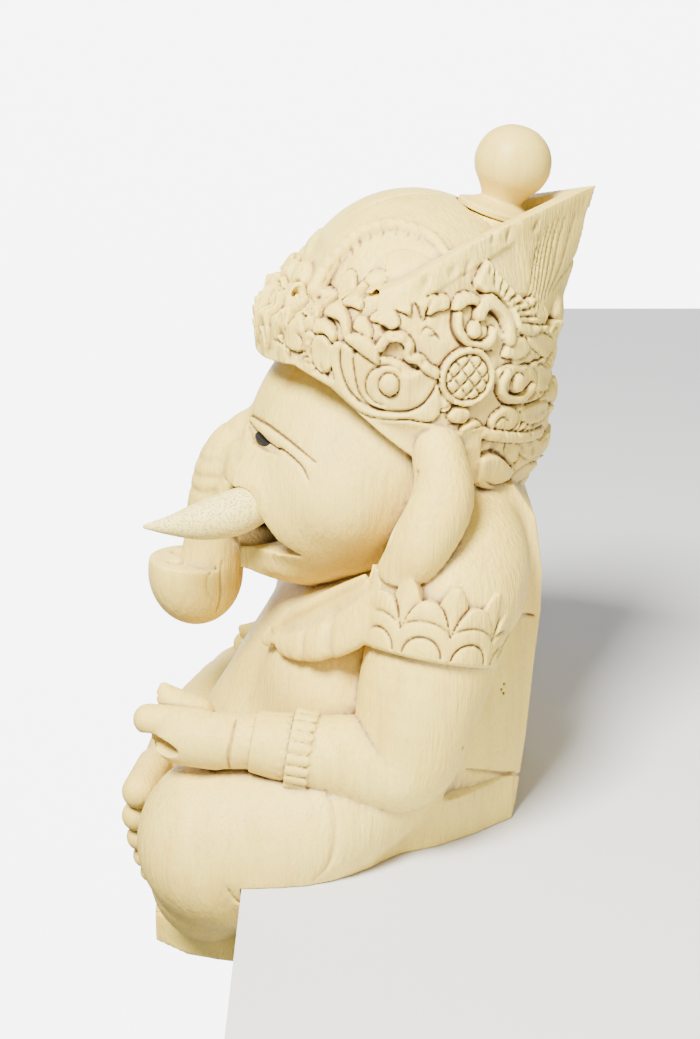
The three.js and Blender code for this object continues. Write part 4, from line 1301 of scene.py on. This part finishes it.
class Nodes:
    """A short way to build a material's nodes"""

    def __init__(self, name):
        self.material = bpy.data.materials.new(name)
        self.material.use_nodes = True
        self.tree = self.material.node_tree
        self.shader = self.tree.nodes["Principled BSDF"]

    def new(self, kind, inputs=None, **settings):
        node = self.tree.nodes.new(kind)
        for key, value in settings.items():
            setattr(node, key, value)
        for key, value in (inputs or {}).items():
            if isinstance(value, bpy.types.NodeSocket):
                self.tree.links.new(value, node.inputs[key])
            else:
                node.inputs[key].default_value = value
        return node

    def maths(self, operation, a, b=0.0):
        return self.new("ShaderNodeMath", {0: a, 1: b}, operation=operation).outputs[0]

    def stretched(self, scale):
        where = self.new("ShaderNodeTexCoord").outputs["Object"]
        return self.new("ShaderNodeMapping", {"Vector": where, "Scale": scale}).outputs[0]

    def noise(self, scale, detail, stretch=(1, 1, 1)):
        inputs = {"Vector": self.stretched(stretch), "Scale": scale, "Detail": detail, "Roughness": 0.55}
        return self.new("ShaderNodeTexNoise", inputs).outputs["Fac"]

    def band(self, value, low, high):
        inputs = {"Value": value, "From Min": low, "From Max": high}
        return self.new("ShaderNodeMapRange", inputs).outputs[0]

    def mix(self, share, a, b):
        return self.new("ShaderNodeMix", {0: share, 6: a, 7: b}, data_type="RGBA").outputs[2]

    def stain(self, colour, tint, value, low, high, strength):
        """A colour stained with a tint where a value rises from low to high"""
        return self.mix(self.maths("MULTIPLY", self.band(value, low, high), strength), colour, tint)

    def attribute(self, name):
        return self.new("ShaderNodeAttribute", attribute_name=name).outputs["Fac"]

    def offsets(self, middle):
        """x, y and z from a middle given in mm on the left, which counts on the right as well"""
        where = self.new("ShaderNodeTexCoord").outputs["Object"]
        x, y, z = self.new("ShaderNodeSeparateXYZ", {0: where}).outputs
        places = (self.maths("ABSOLUTE", x), y, z)
        return [self.maths("SUBTRACT", place, at * MM) for place, at in zip(places, middle)]

    def oval(self, offsets, halves, power):
        """Below 1 inside an oval of half sizes in mm, the squarer the higher the power"""
        total = 0.0
        for off, half in zip(offsets, halves):
            share = self.maths("ABSOLUTE", self.maths("DIVIDE", off, half * MM))
            total = self.maths("ADD", self.maths("POWER", share, power), total)
        return total

    def bumps(self, layers):
        """Bumps on top of each other: a height, its depth in metres and its strength for each"""
        normal = None
        for height, depth, strength in layers:
            inputs = {"Height": height, "Distance": depth, "Strength": strength}
            if normal is not None:
                inputs["Normal"] = normal
            normal = self.new("ShaderNodeBump", inputs).outputs[0]
        self.tree.links.new(normal, self.shader.inputs["Normal"])

    def paint(self, colour, roughness, gloss):
        self.tree.links.new(colour, self.shader.inputs["Base Color"])
        self.tree.links.new(roughness, self.shader.inputs["Roughness"])
        self.shader.inputs["Specular IOR Level"].default_value = gloss


CREAM = (0.79, 0.585, 0.10, 1)
PALE = (0.83, 0.655, 0.155, 1)
HONEY = (0.64, 0.41, 0.07, 1)
FLECK = (0.45, 0.27, 0.06, 1)
# Dark brown for the wood's veins and specks, and for painted shade in the wider hollows
GRAIN_AND_SHADE = (0.50, 0.36, 0.14, 1)
# Painted shade in the cuts, the deepest hollows and the mouth
DEEP_SHADE = (0.10, 0.05, 0.015, 1)
DARK = (0.012, 0.010, 0.009, 1)
KNOB = (0.66, 0.49, 0.09, 1)
KNOB_PALE = (0.71, 0.55, 0.13, 1)
TUSK_BASE = (0.83, 0.67, 0.17, 1)
TUSK_PALE = (0.86, 0.72, 0.24, 1)
PORE = (0.50, 0.38, 0.20, 1)


def wood(name, base=CREAM, light=PALE, warm=HONEY, fibre=1.0):
    """Pale wood with upright fibres, streaks, flecks and veins, and soft clouds of colour"""
    nodes = Nodes(name)
    fibres = nodes.noise(900, 5, (1, 1, 0.09))
    streaks = nodes.noise(170, 4, (1, 1, 0.14))
    flecks = nodes.noise(2600, 2, (1, 1, 0.22))
    veins = nodes.noise(330, 5, (1, 1, 0.05))
    colour = nodes.stain(base, light, nodes.noise(22, 3), 0.35, 0.68, 1.0)
    colour = nodes.stain(colour, warm, nodes.noise(9, 2), 0.42, 0.7, 0.4)
    colour = nodes.stain(colour, warm, streaks, 0.5, 0.72, 0.5 * fibre)
    colour = nodes.stain(colour, FLECK, flecks, 0.6, 0.72, 0.35 * fibre)
    colour = nodes.stain(colour, GRAIN_AND_SHADE, veins, 0.58, 0.68, 0.35 * fibre)
    colour = nodes.stain(colour, GRAIN_AND_SHADE, nodes.noise(1500, 2), 0.54, 0.68, 0.35 * fibre)
    return nodes, colour, fibres, streaks


def paint_shade_and_highlight(nodes, colour):
    """Painted shade in the hollows and cuts, and a painted highlight on the edges that stand out"""
    uneven = nodes.maths("MULTIPLY", nodes.noise(500, 3), 0.16)
    hollow = nodes.maths("ADD", nodes.attribute("hollow"), uneven)
    cut = nodes.maths("ADD", nodes.attribute("cut"), uneven)
    # Painted shade, deeper the further a point lies in a hollow or a cut
    colour = nodes.stain(colour, GRAIN_AND_SHADE, hollow, 0.08, 0.45, 0.85)
    colour = nodes.stain(colour, DEEP_SHADE, hollow, 0.42, 0.85, 0.8)
    colour = nodes.stain(colour, DEEP_SHADE, cut, 0.2, 0.52, 0.95)
    # Painted highlight on the edges that stand out
    return nodes.stain(colour, PALE, nodes.attribute("edge_highlight"), 0.15, 0.5, 0.4)


# The middle and half sizes of the mouth's left hollow, where shadow is painted, and of the left pupil, in mm
MOUTH_PLACE = (10, -23, 83.5)
MOUTH_HALF = (11, 12, 11.5)
PUPIL_PLACE = (20, -21.6, 108.5)
PUPIL_HALF = (5.2, 1.9)
PUPIL_ACROSS = (0.83, 0.56)  # the way the eye's slot runs there, in plan
PUPIL_DEPTH = 9.6  # how far behind its middle the pupil may reach


def painted_mouth_shadow(nodes, colour):
    """Painted shadow deep in the mouth, fading at its edge"""
    return nodes.stain(colour, DEEP_SHADE, nodes.oval(nodes.offsets(MOUTH_PLACE), MOUTH_HALF, 4.0), 1.0, 0.7, 0.85)


def pupil_mask(nodes):
    """One inside the pupil's oval on either side of the face, zero outside"""
    x, y, z = nodes.offsets(PUPIL_PLACE)
    along = nodes.maths("ADD", *(nodes.maths("MULTIPLY", off, way) for off, way in zip((x, y), PUPIL_ACROSS)))
    inside = nodes.maths("LESS_THAN", nodes.oval((along, z), PUPIL_HALF, 2.0), 1.0)
    return nodes.maths("MULTIPLY", inside, nodes.maths("LESS_THAN", y, PUPIL_DEPTH * MM))


def carved_wood():
    nodes, colour, fibres, streaks = wood("carved_wood")
    # Painted shade in the hollows and cuts, a painted highlight on the edges, and painted shadow in the mouth
    colour = painted_mouth_shadow(nodes, paint_shade_and_highlight(nodes, colour))
    colour = nodes.mix(pupil_mask(nodes), colour, DARK)
    nodes.paint(colour, nodes.band(nodes.noise(60, 3), -0.4, 1.4), 0.25)
    nodes.bumps([(streaks, 0.0005, 0.35), (fibres, 0.0005, 1.0), (nodes.noise(260, 3), 0.0003, 0.4)])
    return nodes.material


def topknot_wood():
    """Slightly darker wood with faint rings from the turning"""
    nodes, colour, fibres, streaks = wood("topknot_wood", KNOB, KNOB_PALE)
    nodes.paint(colour, nodes.band(nodes.noise(60, 3), -0.4, 1.5), 0.25)
    rings = nodes.noise(420, 3, (0.15, 0.15, 1))
    nodes.bumps([(streaks, 0.0003, 0.3), (rings, 0.00025, 0.45), (fibres, 0.0002, 0.3)])
    return nodes.material


def tusk_wood():
    """Paler open-grained wood, full of small pores"""
    nodes, colour, fibres, _ = wood("tusk_wood", TUSK_BASE, TUSK_PALE, CREAM, 0.6)
    inputs = {"Vector": nodes.stretched((1, 0.6, 1)), "Scale": 2300.0}
    cells = nodes.new("ShaderNodeTexVoronoi", inputs).outputs[0]
    uneven = nodes.maths("MULTIPLY", nodes.noise(500, 3), 0.3)
    pores = nodes.band(nodes.maths("ADD", cells, uneven), 0.52, 0.36)
    colour = nodes.mix(nodes.maths("MULTIPLY", pores, 0.75), colour, PORE)
    nodes.paint(colour, nodes.band(nodes.noise(90, 3), -1.0, 1.4), 0.5)
    nodes.bumps([(nodes.maths("SUBTRACT", 1.0, pores), 0.0004, 0.8), (fibres, 0.0002, 0.4)])
    return nodes.material


# Stage, light and camera

def stage():
    """A plain pale floor with one edge, which the calves hang before, and a plain pale wall far behind"""
    profile = [(900, -0.1), (SHELF_FACE + 0.5, -0.1), (SHELF_FACE + 0.4, -0.2), (SHELF_FACE + 0.4, -400)]
    points = [(x, y, z) for x in (-700, 900) for y, z in profile]
    count = len(profile)
    floor = new_object("floor", points, [(k, k + 1, count + k + 1, count + k) for k in range(count - 1)])
    corners = [(-1300, y, z) for y, z in ((-550, -1050), (550, -1050), (550, 450), (-550, 450))]
    wall = new_object("wall", corners, [(0, 1, 2, 3)])
    for thing, colour, glow in ((floor, (0.6, 0.6, 0.6, 1), 0), (wall, (0.85, 0.86, 0.88, 1), 6)):
        nodes = Nodes(thing.name)
        nodes.shader.inputs["Base Color"].default_value = colour
        nodes.shader.inputs["Roughness"].default_value = 0.9
        nodes.shader.inputs["Emission Color"].default_value = (0.97, 0.98, 1, 1)
        nodes.shader.inputs["Emission Strength"].default_value = glow
        thing.data.materials.append(nodes.material)


def light(name, place, target, size, power, colour):
    lamp = bpy.data.lights.new(name, "AREA")
    lamp.size, lamp.energy, lamp.color = size, power, colour
    thing = bpy.data.objects.new(name, lamp)
    thing.location = place
    aim(thing, place, target)
    bpy.context.scene.collection.objects.link(thing)


def aim(thing, place, target):
    way = Vector(target) - Vector(place)
    thing.rotation_mode = "QUATERNION"
    thing.rotation_quaternion = way.to_track_quat("-Z", "Y")


def lights():
    """A soft key light from above on the figure's left, a weak fill from behind, and a pale world"""
    light("key", (0.58, -0.27, 0.84), (0, 0, 0.08), 0.3, 50, (1, 0.98, 0.94))
    light("fill", (0.75, 0.3, 0.25), (0, 0, 0.08), 0.8, 3.5, (1, 0.99, 0.97))
    world = bpy.data.worlds.new("world")
    world.use_nodes = True
    world.node_tree.nodes["Background"].inputs["Color"].default_value = (0.93, 0.95, 1, 1)
    world.node_tree.nodes["Background"].inputs["Strength"].default_value = 0.45
    bpy.context.scene.world = world


def camera():
    """Level with the figure's left side and a little above it, as in the photograph"""
    lens = bpy.data.cameras.new("camera")
    lens.sensor_width = SENSOR
    lens.lens = SENSOR * FOCAL_PIXELS / IMAGE_HEIGHT
    lens.clip_start, lens.clip_end = 0.01, 20
    thing = bpy.data.objects.new("camera", lens)
    thing.location = CAMERA_PLACE
    aim(thing, CAMERA_PLACE, CAMERA_TARGET)
    bpy.context.scene.collection.objects.link(thing)
    bpy.context.scene.camera = thing


camera()
lights()
stage()

carved_piece("figure_carved", figure_block(), FIGURE_TRIANGLES, "figure", carved_wood())
tusk_material = tusk_wood()
for node, block, triangles in (
    ("tusk_left", tusk_block(False), LEFT_TUSK_TRIANGLES),
    ("tusk_right", tusk_block(True).flipped(), RIGHT_TUSK_TRIANGLES),
):
    carved_piece(f"{node}_carved", block, triangles, node, tusk_material)
knot = topknot_mesh()
smooth(knot)
dressed(knot, "topknot", topknot_wood())

bpy.context.view_layer.update()
